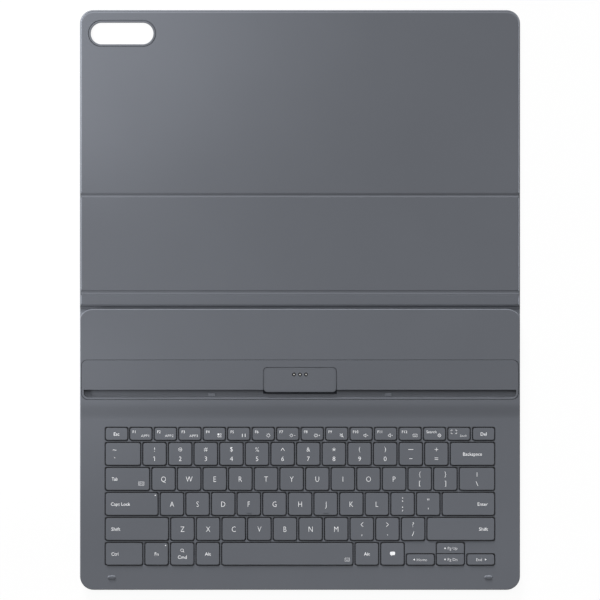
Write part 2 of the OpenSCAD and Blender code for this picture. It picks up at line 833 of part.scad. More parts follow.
module pogo_block() {
  half_w = block_w / 2;
  lip_z = block_z + block_t - block_lip_t;
  color(key_colour)
    difference() {
      union() {
        difference() {
          round_plate([-half_w, half_w], block_y, [pin_board_z, rear_deck_z], block_r);
          box([-half_w - cut, half_w + cut], [block_y[0] - cut, thick_y], [block_z - cut, lip_z]);
        }
        knuckles();
      }
      for (k = [0 : 2])
        translate([pin_x(k), pin_y, 0]) {
          cylinder(d = pin_d + 2 * pin_gap, h = rear_deck_z + cut);
          cylinder(d = collar_d + 2 * pin_gap, h = collar_z + collar_t + hair);
        }
      pivot_pins(0, 0);
    }
}

module pogo_board() {
  half_w = block_w / 2;
  color(board_colour)
    plate([-half_w, half_w], [thick_y, block_y[1]], [block_z, pin_board_z],
      [hair, hair], [block_r, block_r]);
}

module pogo_pivot_pins() {
  color(steel_colour)
    pivot_pins(0, 0);
}

module pogo_pin(k) {
  color([0.85, 0.72, 0.4])
    translate([pin_x(k), pin_y, 0])
      union() {
        translate([0, 0, collar_z])
          cylinder(d = collar_d, h = collar_t);
        translate([0, 0, pin_tail_z])
          cylinder(d = pin_d, h = rear_deck_z + pin_proud - pin_tail_z);
      }
}

// One keycap, inside its opening
module keycap(o, front_r = key_r, rear_r = key_r) {
  color(key_colour)
    plate([o[0] + key_gap, o[0] + o[2] - key_gap], [o[1] + key_gap, o[1] + o[3] - key_gap],
      [cap_z, cap_top], [front_r, front_r], [rear_r, rear_r]);
}

module keycaps(opens) {
  for (o = opens) {
    keycap(o);
  }
}

cover_outer_skin();
cover_stiffener();
cover_lining();
cover_magnets();
camera_window_ring();
stand_outer_skin();
stand_stiffener();
stand_lining();
stand_magnets();
spine_outer_skin();
spine_stiffener();
spine_lining();
crease_web([stand_y[1], cover_y[0]]);  // cover_crease_web
crease_web([spine_y[1], stand_y[0]]);  // stand_crease_web
crease_web([rear_y, spine_y[0]]);  // spine_crease_web
base_skin();
bottom_case();
support_plate();
membrane_sheet();
rubber_domes();
key_scissors();
top_case();
tray_insert();
pogo_flex_cable();
controller_board();
keyboard_magnets();
front_bumpers();
tray_stops();
pogo_block();
pogo_board();
pogo_pivot_pins();
pogo_pin(0);  // pogo_pin_left
pogo_pin(1);  // pogo_pin_middle
pogo_pin(2);  // pogo_pin_right
keycaps(function_opens);  // function_keys
keycaps(number_opens);  // number_keys
keycaps(upper_opens);  // upper_letter_keys
keycaps(home_opens);  // home_letter_keys
keycaps(lower_opens);  // lower_letter_keys
keycap(esc_open);  // esc_key
keycap(del_open);  // del_key
keycap(tilde_open);  // backquote_key
keycap(backspace_open);  // backspace_key
keycap(tab_open);  // tab_key
keycap(backslash_open);  // backslash_key
keycap(caps_open);  // caps_lock_key
keycap(enter_open);  // enter_key
keycap(shift_open);  // shift_key_left
keycap(right_shift_open);  // shift_key_right
keycap(ctrl_open);  // ctrl_key
keycap(fn_open);  // fn_key
keycap(cmd_open);  // cmd_key
keycap(alt_open);  // alt_key_left
keycap(space_open);  // space_key
keycap(right_alt_open);  // alt_key_right
keycap(assistant_open);  // assistant_key
keycap(home_open);  // home_key
keycap(page_up_open, front_r = split_r);  // page_up_key
keycap(page_down_open, rear_r = split_r);  // page_down_key
keycap(end_open);  // end_key
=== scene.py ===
import json
import math
import bmesh
import bpy
import numpy as np
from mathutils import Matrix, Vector
from mathutils.geometry import delaunay_2d_cdt


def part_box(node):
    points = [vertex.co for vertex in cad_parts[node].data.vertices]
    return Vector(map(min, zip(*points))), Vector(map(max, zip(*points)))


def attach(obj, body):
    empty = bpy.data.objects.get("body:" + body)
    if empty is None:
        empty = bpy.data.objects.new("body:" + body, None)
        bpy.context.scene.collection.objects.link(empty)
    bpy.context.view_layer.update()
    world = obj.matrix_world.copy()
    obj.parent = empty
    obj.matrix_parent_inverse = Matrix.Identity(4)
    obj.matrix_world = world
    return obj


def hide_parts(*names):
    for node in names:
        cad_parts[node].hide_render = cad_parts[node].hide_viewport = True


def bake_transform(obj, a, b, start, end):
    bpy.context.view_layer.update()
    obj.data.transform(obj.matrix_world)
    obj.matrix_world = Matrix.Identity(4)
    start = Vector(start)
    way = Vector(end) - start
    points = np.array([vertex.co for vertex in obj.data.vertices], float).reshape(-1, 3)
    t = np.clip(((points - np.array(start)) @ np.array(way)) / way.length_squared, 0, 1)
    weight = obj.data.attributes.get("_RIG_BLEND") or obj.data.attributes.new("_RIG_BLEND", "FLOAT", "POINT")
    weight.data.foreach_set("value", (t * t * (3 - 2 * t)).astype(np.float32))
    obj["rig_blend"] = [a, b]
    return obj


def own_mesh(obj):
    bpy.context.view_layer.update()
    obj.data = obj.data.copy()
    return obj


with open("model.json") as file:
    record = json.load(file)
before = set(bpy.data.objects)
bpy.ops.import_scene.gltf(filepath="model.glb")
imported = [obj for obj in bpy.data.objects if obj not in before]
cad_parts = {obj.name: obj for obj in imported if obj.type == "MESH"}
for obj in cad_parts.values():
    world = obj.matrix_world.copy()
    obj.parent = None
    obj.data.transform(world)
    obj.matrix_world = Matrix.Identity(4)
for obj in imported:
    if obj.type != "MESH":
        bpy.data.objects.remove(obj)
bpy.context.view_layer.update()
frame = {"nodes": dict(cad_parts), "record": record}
mm = 0.001
samePlace = 1e-7    # in metres: points closer than this are one
nodes = frame["nodes"]
print("frame loaded:", len(nodes), "nodes")


# sizes read from the frame, and rectangles as (left, right, front, rear)

def boxOf(node):
    low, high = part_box(node)
    return low.x, high.x, low.y, high.y


def heightsOf(node):
    low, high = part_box(node)
    return low.z, high.z


def middleOf(rect):
    return (rect[0] + rect[1]) / 2, (rect[2] + rect[3]) / 2


def grown(rect, by):
    return rect[0] - by, rect[1] + by, rect[2] - by, rect[3] + by


# mesh helpers

def cornerArc(cx, cy, rx, ry, startDeg, steps):
    turns = [math.radians(startDeg + 90 * i / steps) for i in range(steps + 1)]
    return [(cx + rx * math.cos(a), cy + ry * math.sin(a)) for a in turns]


def outline(rect, front, rear, inset=0.0, steps=6, sideYs=()):
    # counter-clockwise; front and rear are (reach across, reach along) of the corners
    x0, x1, y0, y1 = grown(rect, -inset)
    tiny = 0.02 * mm
    fx, fy = (max(r - inset, tiny) for r in front)
    rx, ry = (max(r - inset, tiny) for r in rear)
    points = cornerArc(x1 - rx, y1 - ry, rx, ry, 0, steps)
    points += cornerArc(x0 + rx, y1 - ry, rx, ry, 90, steps)
    points += [(x0, y) for y in sorted(sideYs, reverse=True)]
    points += cornerArc(x0 + fx, y0 + fy, fx, fy, 180, steps)
    points += cornerArc(x1 - fx, y0 + fy, fx, fy, 270, steps)
    return points + [(x1, y) for y in sorted(sideYs)]


def evenOutline(rect, r, inset=0.0, steps=6):
    return outline(rect, (r, r), (r, r), inset, steps)


def stadium(rect, grow, steps=16):
    rect = grown(rect, grow)
    return evenOutline(rect, (rect[3] - rect[2]) / 2, 0, steps)


def circle(cx, cy, r, count):
    turns = [2 * math.pi * i / count for i in range(count)]
    return [(cx + r * math.cos(a), cy + r * math.sin(a)) for a in turns]


def addRing(bm, points, z, tone=0.0):
    # z is a height or a function of y; tone marks where a finish gets painted highlight or painted shade on
    # its edges
    layer = bm.verts.layers.float.get("edgeTone") or bm.verts.layers.float.new("edgeTone")
    ring = []
    for x, y in points:
        vert = bm.verts.new((x, y, z(y) if callable(z) else z))
        vert[layer] = tone
        ring.append(vert)
    return ring


def bridge(bm, *rings):
    for lower, upper in zip(rings, rings[1:]):
        for i, low in enumerate(lower):
            j = (i + 1) % len(lower)
            bm.faces.new((low, lower[j], upper[j], upper[i]))


def addSolid(bm, *rings):
    # rings joined into a form that is closed at both ends
    bridge(bm, *rings)
    bm.faces.new(rings[0])
    bm.faces.new(rings[-1])


def addTurned(bm, cx, cy, profile, count):
    # solid of revolution through (radius, height) points
    addSolid(bm, *[addRing(bm, circle(cx, cy, r, count), z) for r, z in profile])


def rounding(across, down, steps):
    # (in from the wall, below the flat, edge tone) up a rounded edge; the edge tone, strongest halfway round,
    # marks painted highlight or painted shade
    turns = [math.pi / 2 * i / steps for i in range(steps + 1)]
    return [(across * (1 - math.cos(a)), down * (1 - math.sin(a)), math.sin(2 * a)) for a in turns]


def roundedRings(bm, shape, z, radius, steps, inward):
    # rings round an edge from the wall up to the flat; shape(inset) gives the outline
    rings = []
    for inset, drop, tone in rounding(radius, radius, steps):
        level = (lambda y, d=drop: z(y) - d) if callable(z) else z - drop
        rings.append(addRing(bm, shape(inset * inward), level, tone))
    return rings


def fillRegion(bm, outer, holes=(), lines=(), up=True):
    # flat region between an outer ring and its holes, split along the given lines
    loops = [outer, *holes]
    verts = [v for loop in loops for v in loop]
    index = {v: i for i, v in enumerate(verts)}
    edges = [(index[a], index[b]) for loop in loops for a, b in zip(loop, loop[1:] + loop[:1])]
    walls = np.array([(*verts[a].co.xy, *verts[b].co.xy) for a, b in edges])
    edges += [(index[a], index[b]) for a, b in lines]
    found = delaunay_2d_cdt([v.co.xy for v in verts], edges, [], 1, 1e-9)
    places, faces, origins = found[0], found[2], found[3]
    xa, ya, xb, yb = walls.T
    for face in faces:
        cx = sum(places[i].x for i in face) / len(face)
        cy = sum(places[i].y for i in face) / len(face)
        crossing = (ya > cy) != (yb > cy)
        at = xa[crossing] + (cy - ya[crossing]) * (xb - xa)[crossing] / (yb - ya)[crossing]
        if np.count_nonzero(at > cx) % 2 == 0:    # outside the walls
            continue
        corners = [verts[origins[i][0]] for i in face]
        if len(set(corners)) == len(corners):
            bm.faces.new(corners if up else corners[::-1])


def slab(bm, shape, low, high, edge=0.0, holes=(), steps=3, fade=0.0):
    # closed plate; shape and holes are functions of the inset from their edge
    rings = [addRing(bm, shape(0), low)]
    if edge:
        rings += roundedRings(bm, shape, high, edge, steps, 1)
    else:
        rings.append(addRing(bm, shape(0), high))
    # a border that carries the edge tone and fades inwards over this reach: painted shade on the connector
    # block
    if fade:
        for vert in [v for ring in rings[-steps:] for v in ring]:
            vert[bm.verts.layers.float["edgeTone"]] = 1.0
        rings.append(addRing(bm, shape(edge + fade), high))
    bridge(bm, *rings)
    lows, highs = [], []
    for hole, holeEdge in holes:
        lows.append(addRing(bm, hole(0), low))
        rim = roundedRings(bm, hole, high, holeEdge, steps, -1)
        bridge(bm, lows[-1], *rim)
        highs.append(rim[-1])
    fillRegion(bm, rings[-1], highs)
    fillRegion(bm, rings[0], lows, up=False)


def addBeam(bm, x0, x1, section):
    # closed bar along X through a section of (y, z) points
    addSolid(bm, *[[bm.verts.new((x, y, z)) for y, z in section] for x in (x0, x1)])


def addObject(name, data):
    obj = bpy.data.objects.new(name, data)
    bpy.context.scene.collection.objects.link(obj)
    return obj


def bake(obj):
    # turns what its modifiers make into the object's own mesh
    if not obj.modifiers:
        return
    depsgraph = bpy.context.evaluated_depsgraph_get()
    depsgraph.update()
    baked = bpy.data.meshes.new_from_object(obj.evaluated_get(depsgraph), depsgraph=depsgraph)
    old = obj.data
    obj.modifiers.clear()
    obj.data = baked
    baked.name = old.name
    bpy.data.meshes.remove(old)


def settle(obj, smoothDeg):
    # applies what is on the object and gives it face-weighted normals
    bake(obj)
    mesh = obj.data
    mesh.polygons.foreach_set("use_smooth", [True] * len(mesh.polygons))
    mesh.set_sharp_from_angle(angle=math.radians(smoothDeg))
    weighted = obj.modifiers.new("weighted", "WEIGHTED_NORMAL")
    weighted.keep_sharp = True
    bake(obj)
    return obj


def finishMesh(name, bm, finish, smoothDeg=35.0, weld=True):
    if weld:
        bmesh.ops.remove_doubles(bm, verts=bm.verts, dist=samePlace)
    bmesh.ops.recalc_face_normals(bm, faces=bm.faces)
    mesh = bpy.data.meshes.new(name)
    bm.to_mesh(mesh)
    bm.free()
    mesh.materials.append(finishes[finish])
    return settle(addObject(name, mesh), smoothDeg)


def place(obj, body, slot, *replaced):
    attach(obj, body)
    if replaced:
        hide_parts(*replaced)


# node trees

def feed(tree, value, socket):
    # a value that is a socket is linked, any other is set
    if isinstance(value, bpy.types.NodeSocket):
        tree.links.new(value, socket)
    else:
        socket.default_value = value


def addNode(tree, kind, settings=None, **values):
    node = tree.nodes.new(kind)
    for key, value in (settings or {}).items():
        setattr(node, key, value)
    return feedNode(tree, node, **values)


def feedNode(tree, node, **values):
    for key, value in values.items():
        feed(tree, value, node.inputs[key.replace("_", " ")])
    return node


def mathNode(tree, operation, a, b):
    node = addNode(tree, "ShaderNodeMath", {"operation": operation})
    feed(tree, a, node.inputs[0])
    feed(tree, b, node.inputs[1])
    return node.outputs[0]


def rangeNode(tree, value, low, high):
    return addNode(tree, "ShaderNodeMapRange", None, Value=value, To_Min=low, To_Max=high).outputs["Result"]


def mixColours(tree, factor, a, b):
    node = addNode(tree, "ShaderNodeMix", {"data_type": "RGBA"}, Factor=factor)
    for name, value in (("A", a), ("B", b)):
        socket = next(s for s in node.inputs if s.name == name and s.type == "RGBA")
        feed(tree, (*value, 1.0) if isinstance(value, tuple) else value, socket)
    return next(s for s in node.outputs if s.type == "RGBA")


def newGroup(name, inputs, outputs, kind="ShaderNodeTree"):
    # inputs are name: (socket type, value or None), outputs are name: socket type
    tree = bpy.data.node_groups.new(name, kind)
    for label, (socketType, value) in inputs.items():
        socket = tree.interface.new_socket(label, in_out="INPUT", socket_type="NodeSocket" + socketType)
        if value is not None:
            socket.default_value = value
    for label, socketType in outputs.items():
        tree.interface.new_socket(label, in_out="OUTPUT", socket_type="NodeSocket" + socketType)
    return tree, tree.nodes.new("NodeGroupInput").outputs, tree.nodes.new("NodeGroupOutput").inputs


def softGrainGroup():
    # fine moulded or coated grain, with slow clouding of the tone
    tree, inlet, outlet = newGroup(
        "softGrain",
        {"Vector": ("Vector", None), "Grain Size": ("Float", 0.0003), "Cloud Size": ("Float", 0.06)},
        {"Grain": "Float", "Cloud": "Float"},
    )
    grainScale = mathNode(tree, "DIVIDE", 1.0, inlet["Grain Size"])
    cloudScale = mathNode(tree, "DIVIDE", 1.0, inlet["Cloud Size"])
    cells = addNode(tree, "ShaderNodeTexVoronoi", {"feature": "SMOOTH_F1"}, Scale=grainScale, Smoothness=0.6)
    speck = addNode(tree, "ShaderNodeTexNoise", None, Scale=grainScale, Detail=3.0, Roughness=0.6)
    cloud = addNode(tree, "ShaderNodeTexNoise", None, Scale=cloudScale, Detail=4.0, Roughness=0.55)
    for texture in (cells, speck, cloud):
        feedNode(tree, texture, Vector=inlet["Vector"])
    grain = mathNode(tree, "MULTIPLY", cells.outputs["Distance"], 0.6)
    speckPart = mathNode(tree, "MULTIPLY", speck.outputs["Fac"], 0.6)
    feed(tree, mathNode(tree, "ADD", grain, speckPart), outlet["Grain"])
    feed(tree, cloud.outputs["Fac"], outlet["Cloud"])
    return tree


def brushedGroup():
    # long scratches along X, as on rolled or ground metal
    tree, inlet, outlet = newGroup(
        "brushed", {"Vector": ("Vector", None), "Scratch Size": ("Float", 0.0004)}, {"Scratch": "Float"})
    stretch = addNode(tree, "ShaderNodeMapping", None, Vector=inlet["Vector"], Scale=(0.03, 1.0, 1.0))
    scale = mathNode(tree, "DIVIDE", 1.0, inlet["Scratch Size"])
    noise = addNode(tree, "ShaderNodeTexNoise", None, Scale=scale, Detail=4.0, Roughness=0.7)
    feedNode(tree, noise, Vector=stretch.outputs["Vector"])
    feed(tree, noise.outputs["Fac"], outlet["Scratch"])
    return tree


def trackGroup():
    # square-cornered tracks or threads, crossing
    tree, inlet, outlet = newGroup(
        "tracks",
        {"Vector": ("Vector", None), "Pitch": ("Float", 0.002), "Share": ("Float", 0.4)},
        {"Along": "Float", "Across": "Float"},
    )
    scale = mathNode(tree, "DIVIDE", 0.5, inlet["Pitch"])
    for direction, label in (("Y", "Along"), ("X", "Across")):
        wave = addNode(tree, "ShaderNodeTexWave", {"bands_direction": direction}, Distortion=0.4, Detail=1.0)
        feedNode(tree, wave, Vector=inlet["Vector"], Scale=scale)
        feed(tree, mathNode(tree, "LESS_THAN", wave.outputs["Fac"], inlet["Share"]), outlet[label])
    return tree


grainTree = softGrainGroup()
brushTree = brushedGroup()
tracksTree = trackGroup()


# materials

def startMaterial(name, metallic=0.0):
    material = bpy.data.materials.new(name)
    material.use_nodes = True
    tree = material.node_tree
    shader = feedNode(tree, tree.nodes["Principled BSDF"], Metallic=metallic)
    return material, tree, shader, addNode(tree, "ShaderNodeTexCoord").outputs["Object"]


def groupNode(tree, group, vector, **values):
    return addNode(tree, "ShaderNodeGroup", {"node_tree": group}, Vector=vector, **values).outputs


def bumpFrom(tree, height, distance, strength):
    bump = addNode(tree, "ShaderNodeBump", None, Height=height, Distance=distance, Strength=strength)
    return bump.outputs["Normal"]


def scaled(colour, share):
    return tuple(c * share for c in colour)


caseColour = (0.1095, 0.1165, 0.1325)
# name, colour or share of the case's, roughness, grain and bump in mm, clouding, painted highlight on the
# edges (painted shade where it is below 0)
softFinishes = {
    # skin: its edge value paints a bright highlight line on the rim crests and on the base skin's edges
    "skin": ("coatedSkin", 0.96, 0.60, 0.45, 0.05, 0.05, 2.7),
    # lining: painted highlight on the sloped border
    "lining": ("coatedLining", 1.0, 0.60, 0.30, 0.03, 0.05, 0.5),
    "trim": ("windowTrim", 0.95, 0.45, 0.25, 0.02, 0.05, 0.15),
    # shell: painted highlight on the deck's rounded edges and key openings
    "shell": ("paintedShell", 1.0, 0.56, 0.22, 0.02, 0.05, 0.40),
    # tray: painted highlight on the tray's and the groove's rounded edges
    "tray": ("paintedTray", 0.96, 0.56, 0.22, 0.02, 0.05, 0.35),
    # keycap: below 0, painted shade on the cap bevels and on the homing bars' edges
    "keycap": ("matteKeycap", 1.02, 0.52, 0.18, 0.02, 0.05, -0.5),
    # connector: below 0, painted shade on the block's border
    "connector": ("satinConnector", 0.97, 0.50, 0.22, 0.02, 0.05, -0.2),
    "innerCase": ("innerCasePlastic", (0.012, 0.015, 0.022), 0.62, 0.40, 0.04, 0.05, 0.10),
    "scissor": ("acetal", (0.018, 0.022, 0.032), 0.45, 0.25, 0.02, 0.05, 0.10),
    "dome": ("domeSilicone", (0.026, 0.030, 0.042), 0.50, 0.40, 0.02, 0.05, 0.10),
    # stop: lighter than the case, a painted highlight where the light catches the stops
    "stop": ("stopRubber", 1.5, 0.60, 0.30, 0.02, 0.05, 0.10),
    # bumper: painted highlight on the bumpers' rounded edges
    "bumper": ("bumperRubber", 0.96, 0.70, 0.30, 0.03, 0.05, 1.3),
    # near-black rings: painted shade of the holes round the contacts
    "bezel": ("contactBezel", (0.008, 0.009, 0.012), 0.40, 0.20, 0.01, 0.05, 0.10),
    "ink": ("legendInk", (0.90, 0.91, 0.93), 0.55, 0.25, 0.01, 0.03, 0.0),
    "lamp": ("indicatorWindow", (0.93, 0.94, 0.95), 0.35, 0.20, 0.01, 0.02, 0.0),
    # crease: faint painted highlight along the creases' long edges
    "crease": ("pressedCrease", 0.96, 0.62, 0.35, 0.04, 0.05, 0.10),
}
# the grain leaves between a given share and all of the painted highlight or shade on the edges
softValues = {"cloudSize": 0.07, "roughSpread": 0.06, "edgeLightGrain": 0.4, "bump": 0.6, "specular": 0.25}


def softTouch(name, colour, roughness, grainSize, depth, clouding, paintedEdgeLight):
    # coated plastic, skin or rubber: fine grain, slow clouding, and painted highlight on its edges, or
    # painted shade where that share is below 0
    if not isinstance(colour, tuple):
        colour = scaled(caseColour, colour)
    material, tree, shader, vector = startMaterial(name)
    soft = groupNode(tree, grainTree, vector, Grain_Size=grainSize * mm, Cloud_Size=softValues["cloudSize"])
    grain, spread = soft["Grain"], softValues["roughSpread"]
    clouded = mixColours(tree, soft["Cloud"], scaled(colour, 1 - clouding), scaled(colour, 1 + clouding))
    # painted highlight or shade on the edges: the edge tone, thinned by the grain, mixes towards a lighter or
    # darker colour
    edge = addNode(tree, "ShaderNodeAttribute", {"attribute_name": "edgeTone"})
    edgeGrain = rangeNode(tree, grain, softValues["edgeLightGrain"], 1.0)
    paintedEdge = mathNode(tree, "MULTIPLY", edge.outputs["Fac"], edgeGrain)
    feedNode(
        tree, shader, Specular_IOR_Level=softValues["specular"],
        Base_Color=mixColours(tree, paintedEdge, clouded, scaled(colour, 1 + paintedEdgeLight)),
        Roughness=rangeNode(tree, grain, roughness - spread, roughness + spread),
        Normal=bumpFrom(tree, grain, depth * mm, softValues["bump"]),
    )
    return material


# name, colour, roughness, scratch size in mm
metals = {
    "steel": ("blackenedSteel", (0.014, 0.018, 0.030), 0.50, 0.5),
    "magnet": ("nickelPlating", (0.62, 0.61, 0.58), 0.28, 0.3),
    "contact": ("platedContact", (0.86, 0.84, 0.79), 0.30, 0.1),
}
metalValues = {"darkest": 0.88, "roughSpread": 0.1, "depth": 0.02 * mm, "bump": 0.4}


def brushedMetal(name, colour, roughness, scratchSize):
    material, tree, shader, vector = startMaterial(name, metallic=1.0)
    scratch = groupNode(tree, brushTree, vector, Scratch_Size=scratchSize * mm)["Scratch"]
    spread = metalValues["roughSpread"]
    feedNode(
        tree, shader,
        Base_Color=mixColours(tree, scratch, scaled(colour, metalValues["darkest"]), colour),
        Roughness=rangeNode(tree, scratch, roughness - spread, roughness + spread),
        Normal=bumpFrom(tree, scratch, metalValues["depth"], metalValues["bump"]),
    )
    return material


# name, colour of the ground, colour of the tracks, pitch in mm, share of the tracks, roughness
sheets = {
    "board": ("solderMask", (0.012, 0.075, 0.040), (0.05, 0.20, 0.10), 1.2, 0.35, 0.40),
    "contactBoard": ("darkMask", (0.014, 0.017, 0.022), (0.030, 0.035, 0.044), 1.1, 0.4, 0.5),
    "flex": ("flexFilm", (0.016, 0.018, 0.022), (0.045, 0.048, 0.056), 1.0, 0.5, 0.40),
    "film": ("printedFilm", (0.012, 0.014, 0.020), (0.030, 0.032, 0.042), 3.0, 0.2, 0.45),
    "laminate": ("darkLaminate", (0.016, 0.018, 0.022), (0.030, 0.033, 0.039), 0.8, 0.5, 0.50),
}
sheetValues = {
    "grainSize": 0.0004, "cloudSize": 0.02, "clouding": 0.1,
    "across": 0.4,               # how strongly the crossing tracks show
    "trackGloss": 0.12, "depth": 0.03 * mm, "bump": 0.5,
}


def trackedSheet(name, ground, track, pitch, share, roughness):
    # circuit board, flat cable or printed film
    material, tree, shader, vector = startMaterial(name)
    tracks = groupNode(tree, tracksTree, vector, Pitch=pitch * mm, Share=share)
    sizes = {"Grain_Size": sheetValues["grainSize"], "Cloud_Size": sheetValues["cloudSize"]}
    cloud, clouding = groupNode(tree, grainTree, vector, **sizes)["Cloud"], sheetValues["clouding"]
    across = mathNode(tree, "MULTIPLY", tracks["Across"], sheetValues["across"])
    lines = mathNode(tree, "MAXIMUM", tracks["Along"], across)
    base = mixColours(tree, cloud, scaled(ground, 1 - clouding), scaled(ground, 1 + clouding))
    feedNode(
        tree, shader,
        Base_Color=mixColours(tree, lines, base, track),
        Roughness=rangeNode(tree, lines, roughness, roughness - sheetValues["trackGloss"]),
        Normal=bumpFrom(tree, lines, sheetValues["depth"], sheetValues["bump"]),
    )
    return material


finishes = {}
for make, table in ((softTouch, softFinishes), (brushedMetal, metals), (trackedSheet, sheets)):
    finishes.update({key: make(*values) for key, values in table.items()})
print("materials:", len(finishes))

nodeFinish = {
    "bottom_case": "innerCase", "support_plate": "steel", "membrane_sheet": "film",
    "rubber_domes": "dome", "key_scissors": "scissor", "pogo_flex_cable": "flex",
    "controller_board": "board", "keyboard_magnets": "magnet", "cover_magnets": "magnet",
    "stand_magnets": "magnet", "cover_stiffener": "laminate", "stand_stiffener": "laminate",
    "spine_stiffener": "laminate", "pogo_board": "contactBoard", "pogo_pivot_pins": "steel",
}
for nodeName, finish in nodeFinish.items():
    slots = nodes[nodeName].data.materials
    for i in range(len(slots)):
        slots[i] = finishes[finish]
    if not slots:
        slots.append(finishes[finish])


# keyboard deck

deck = {
    "edgeRadius": 0.6 * mm,      # rounding round the panel
    "openingEdge": 0.12 * mm,    # rounding at each key opening
    "trayEdge": 0.1 * mm,
    "traySeam": 0.3 * mm,
    "keyGap": 0.85 * mm,
    "capShift": (0.19 * mm, 0.2 * mm),    # of the inner edges, to the right and forwards
    "nearEdge": 1 * mm,          # caps this close to the field's edge aren't shifted there
    "keyCorner": 1.6 * mm,
    "frontCorner": (10 * mm, 10 * mm),
    "rearCorner": (10 * mm, 7.5 * mm),
    "dropStart": 70.1 * mm,      # from the rear edge
    "dropLength": 11.9 * mm,
    "drop": 0.8 * mm,
    "dropSteps": 14,
    "skirt": 0.6 * mm,
    "plate": 1.0 * mm,
    # steps round the corners and up the edges
    "cornerSteps": 10,
    "edgeSteps": 5,
    "keySteps": 5,
    "rimSteps": 3,
    "traySteps": 8,
}
topRect = boxOf("top_case")
topLow, rearDeckZ = heightsOf("top_case")
trayRect = grown(boxOf("tray_insert"), deck["traySeam"])
trayFront, trayRear = (5 * mm, 5 * mm), (4.2 * mm, 4.2 * mm)
# keys in each bank, and a single key that is as wide
bankCounts = {
    "function_keys": (14, "esc_key"), "number_keys": (12, "fn_key"), "upper_letter_keys": (12, "fn_key"),
    "home_letter_keys": (11, "fn_key"), "lower_letter_keys": (10, "fn_key"),
}
singleKeys = [
    "esc_key", "del_key", "backquote_key", "backspace_key", "tab_key", "backslash_key", "caps_lock_key",
    "enter_key", "shift_key_left", "shift_key_right", "ctrl_key", "fn_key", "cmd_key", "alt_key_left",
    "space_key", "alt_key_right", "assistant_key", "home_key", "page_up_key", "page_down_key", "end_key",
]
fieldLeft, fieldRight, fieldFront = boxOf("esc_key")[0], boxOf("del_key")[1], boxOf("space_key")[2]


def capRects(node):
    # the caps of a node, from its box and, in a bank, from the width of a like key
    x0, x1, y0, y1 = boxOf(node)
    shiftX, shiftY = deck["capShift"]
    near = deck["nearEdge"]
    if node == "function_keys" or node.startswith("page_"):
        shiftX = 0
    x0 += shiftX if x0 > fieldLeft + near else 0
    y0 -= shiftY if y0 > fieldFront + near and node != "page_up_key" else 0
    y1 -= shiftY if node != "page_down_key" else 0
    x1 += shiftX if x1 < fieldRight - near or node in bankCounts else 0
    if node not in bankCounts:
        return [(x0, x1, y0, y1)]
    count, like = bankCounts[node]
    likeBox = boxOf(like)
    width = likeBox[1] - likeBox[0]
    pitch = (x1 - x0 - width) / (count - 1)
    return [(x0 + k * pitch, x0 + k * pitch + width, y0, y1) for k in range(count)]


keyRects = {node: capRects(node) for node in [*bankCounts, *singleKeys]}
pagePair = (*boxOf("page_up_key")[:2], boxOf("page_down_key")[2], boxOf("page_up_key")[3])
openings = [r for node, rects in keyRects.items() if not node.startswith("page_") for r in rects]
openings = [grown(r, deck["keyGap"]) for r in [*openings, pagePair]]
dropTop = topRect[3] - deck["dropStart"]


def deckHeight(y):
    t = min(max((dropTop - y) / deck["dropLength"], 0), 1)
    return rearDeckZ - deck["drop"] * t * t * (3 - 2 * t)


def trayOutline(rect, inset):
    return outline(rect, trayFront, trayRear, inset, deck["traySteps"])


def makeDeck():
    bm = bmesh.new()
    steps = deck["dropSteps"]
    sideYs = [dropTop - deck["dropLength"] * i / steps for i in range(steps + 1)]

    def shape(inset):
        return outline(topRect, deck["frontCorner"], deck["rearCorner"], inset, deck["cornerSteps"], sideYs)

    underZ = deckHeight(topRect[2]) - deck["plate"]
    # the rounded edges carry the edge tone: painted highlight halfway round them
    edge = roundedRings(bm, shape, deckHeight, deck["edgeRadius"], deck["edgeSteps"], 1)
    bottom = addRing(bm, shape(0), topLow)
    inner, under = (addRing(bm, shape(deck["skirt"]), z) for z in (topLow, underZ))
    bridge(bm, under, inner, bottom, *edge)
    topHoles, lowHoles = [], []

    def cutOpening(holeShape, radius):
        rim = roundedRings(bm, holeShape, deckHeight, radius, deck["rimSteps"], -1)
        lowHoles.append(addRing(bm, holeShape(0), underZ))
        bridge(bm, *reversed(rim), lowHoles[-1])
        topHoles.append(rim[-1])

    for rect in openings:
        cutOpening(
            lambda inset, r=rect: evenOutline(r, deck["keyCorner"], inset, deck["keySteps"]),
            deck["openingEdge"])
    cutOpening(lambda inset: trayOutline(trayRect, inset), deck["trayEdge"])
    byHeight = {}
    for vert in edge[-1]:
        for y in sideYs:
            if abs(vert.co.y - y) < samePlace:
                byHeight.setdefault(y, []).append(vert)
    fillRegion(bm, edge[-1], topHoles, [pair for pair in byHeight.values() if len(pair) == 2])
    fillRegion(bm, under, lowHoles, up=False)
    place(finishMesh("deck", bm, "shell"), "keyboard", "shell_plastic", "top_case")


makeDeck()
print("deck made, openings:", len(openings))


# outer skins and linings

panel = {
    "rimCrown": (1.0 * mm, 0.7 * mm),    # reach across and down of the rounding
    "footRadius": 0.25 * mm,
    "rimWidth": 1.2 * mm,
    "rimInside": 0.1 * mm,       # rounding of the rim's inner edge
    "farFade": 0.85,             # how far the painted highlight on the rim fades at the far end
    "sheet": 0.6 * mm,
    "farCorner": 10 * mm,
    "cornerSteps": 10,
    "footSteps": 3,
    "crownSteps": 8,
    "lightStart": 5,             # step of the crown from which it carries the painted highlight
    "liningCorner": 1 * mm,
    "liningSteps": 8,
    "leastCorner": 0.3 * mm,
    "liningSlope": 0.35 * mm,    # sloped border at the sides
    "liningDrop": 0.2 * mm,
    # (share of the slope, share of the drop, edge tone) up the border; the edge tone paints a highlight on it
    "liningEdge": ((0, 1.0, 0.0), (0.35, 0.45, 0.8), (0.75, 0.1, 0.5), (1, 0, 0.0)),
    "windowSeam": (0.09 * mm, 0.11 * mm),    # between lining and ring, below and at the top
    "windowEdge": 0.02 * mm,
}
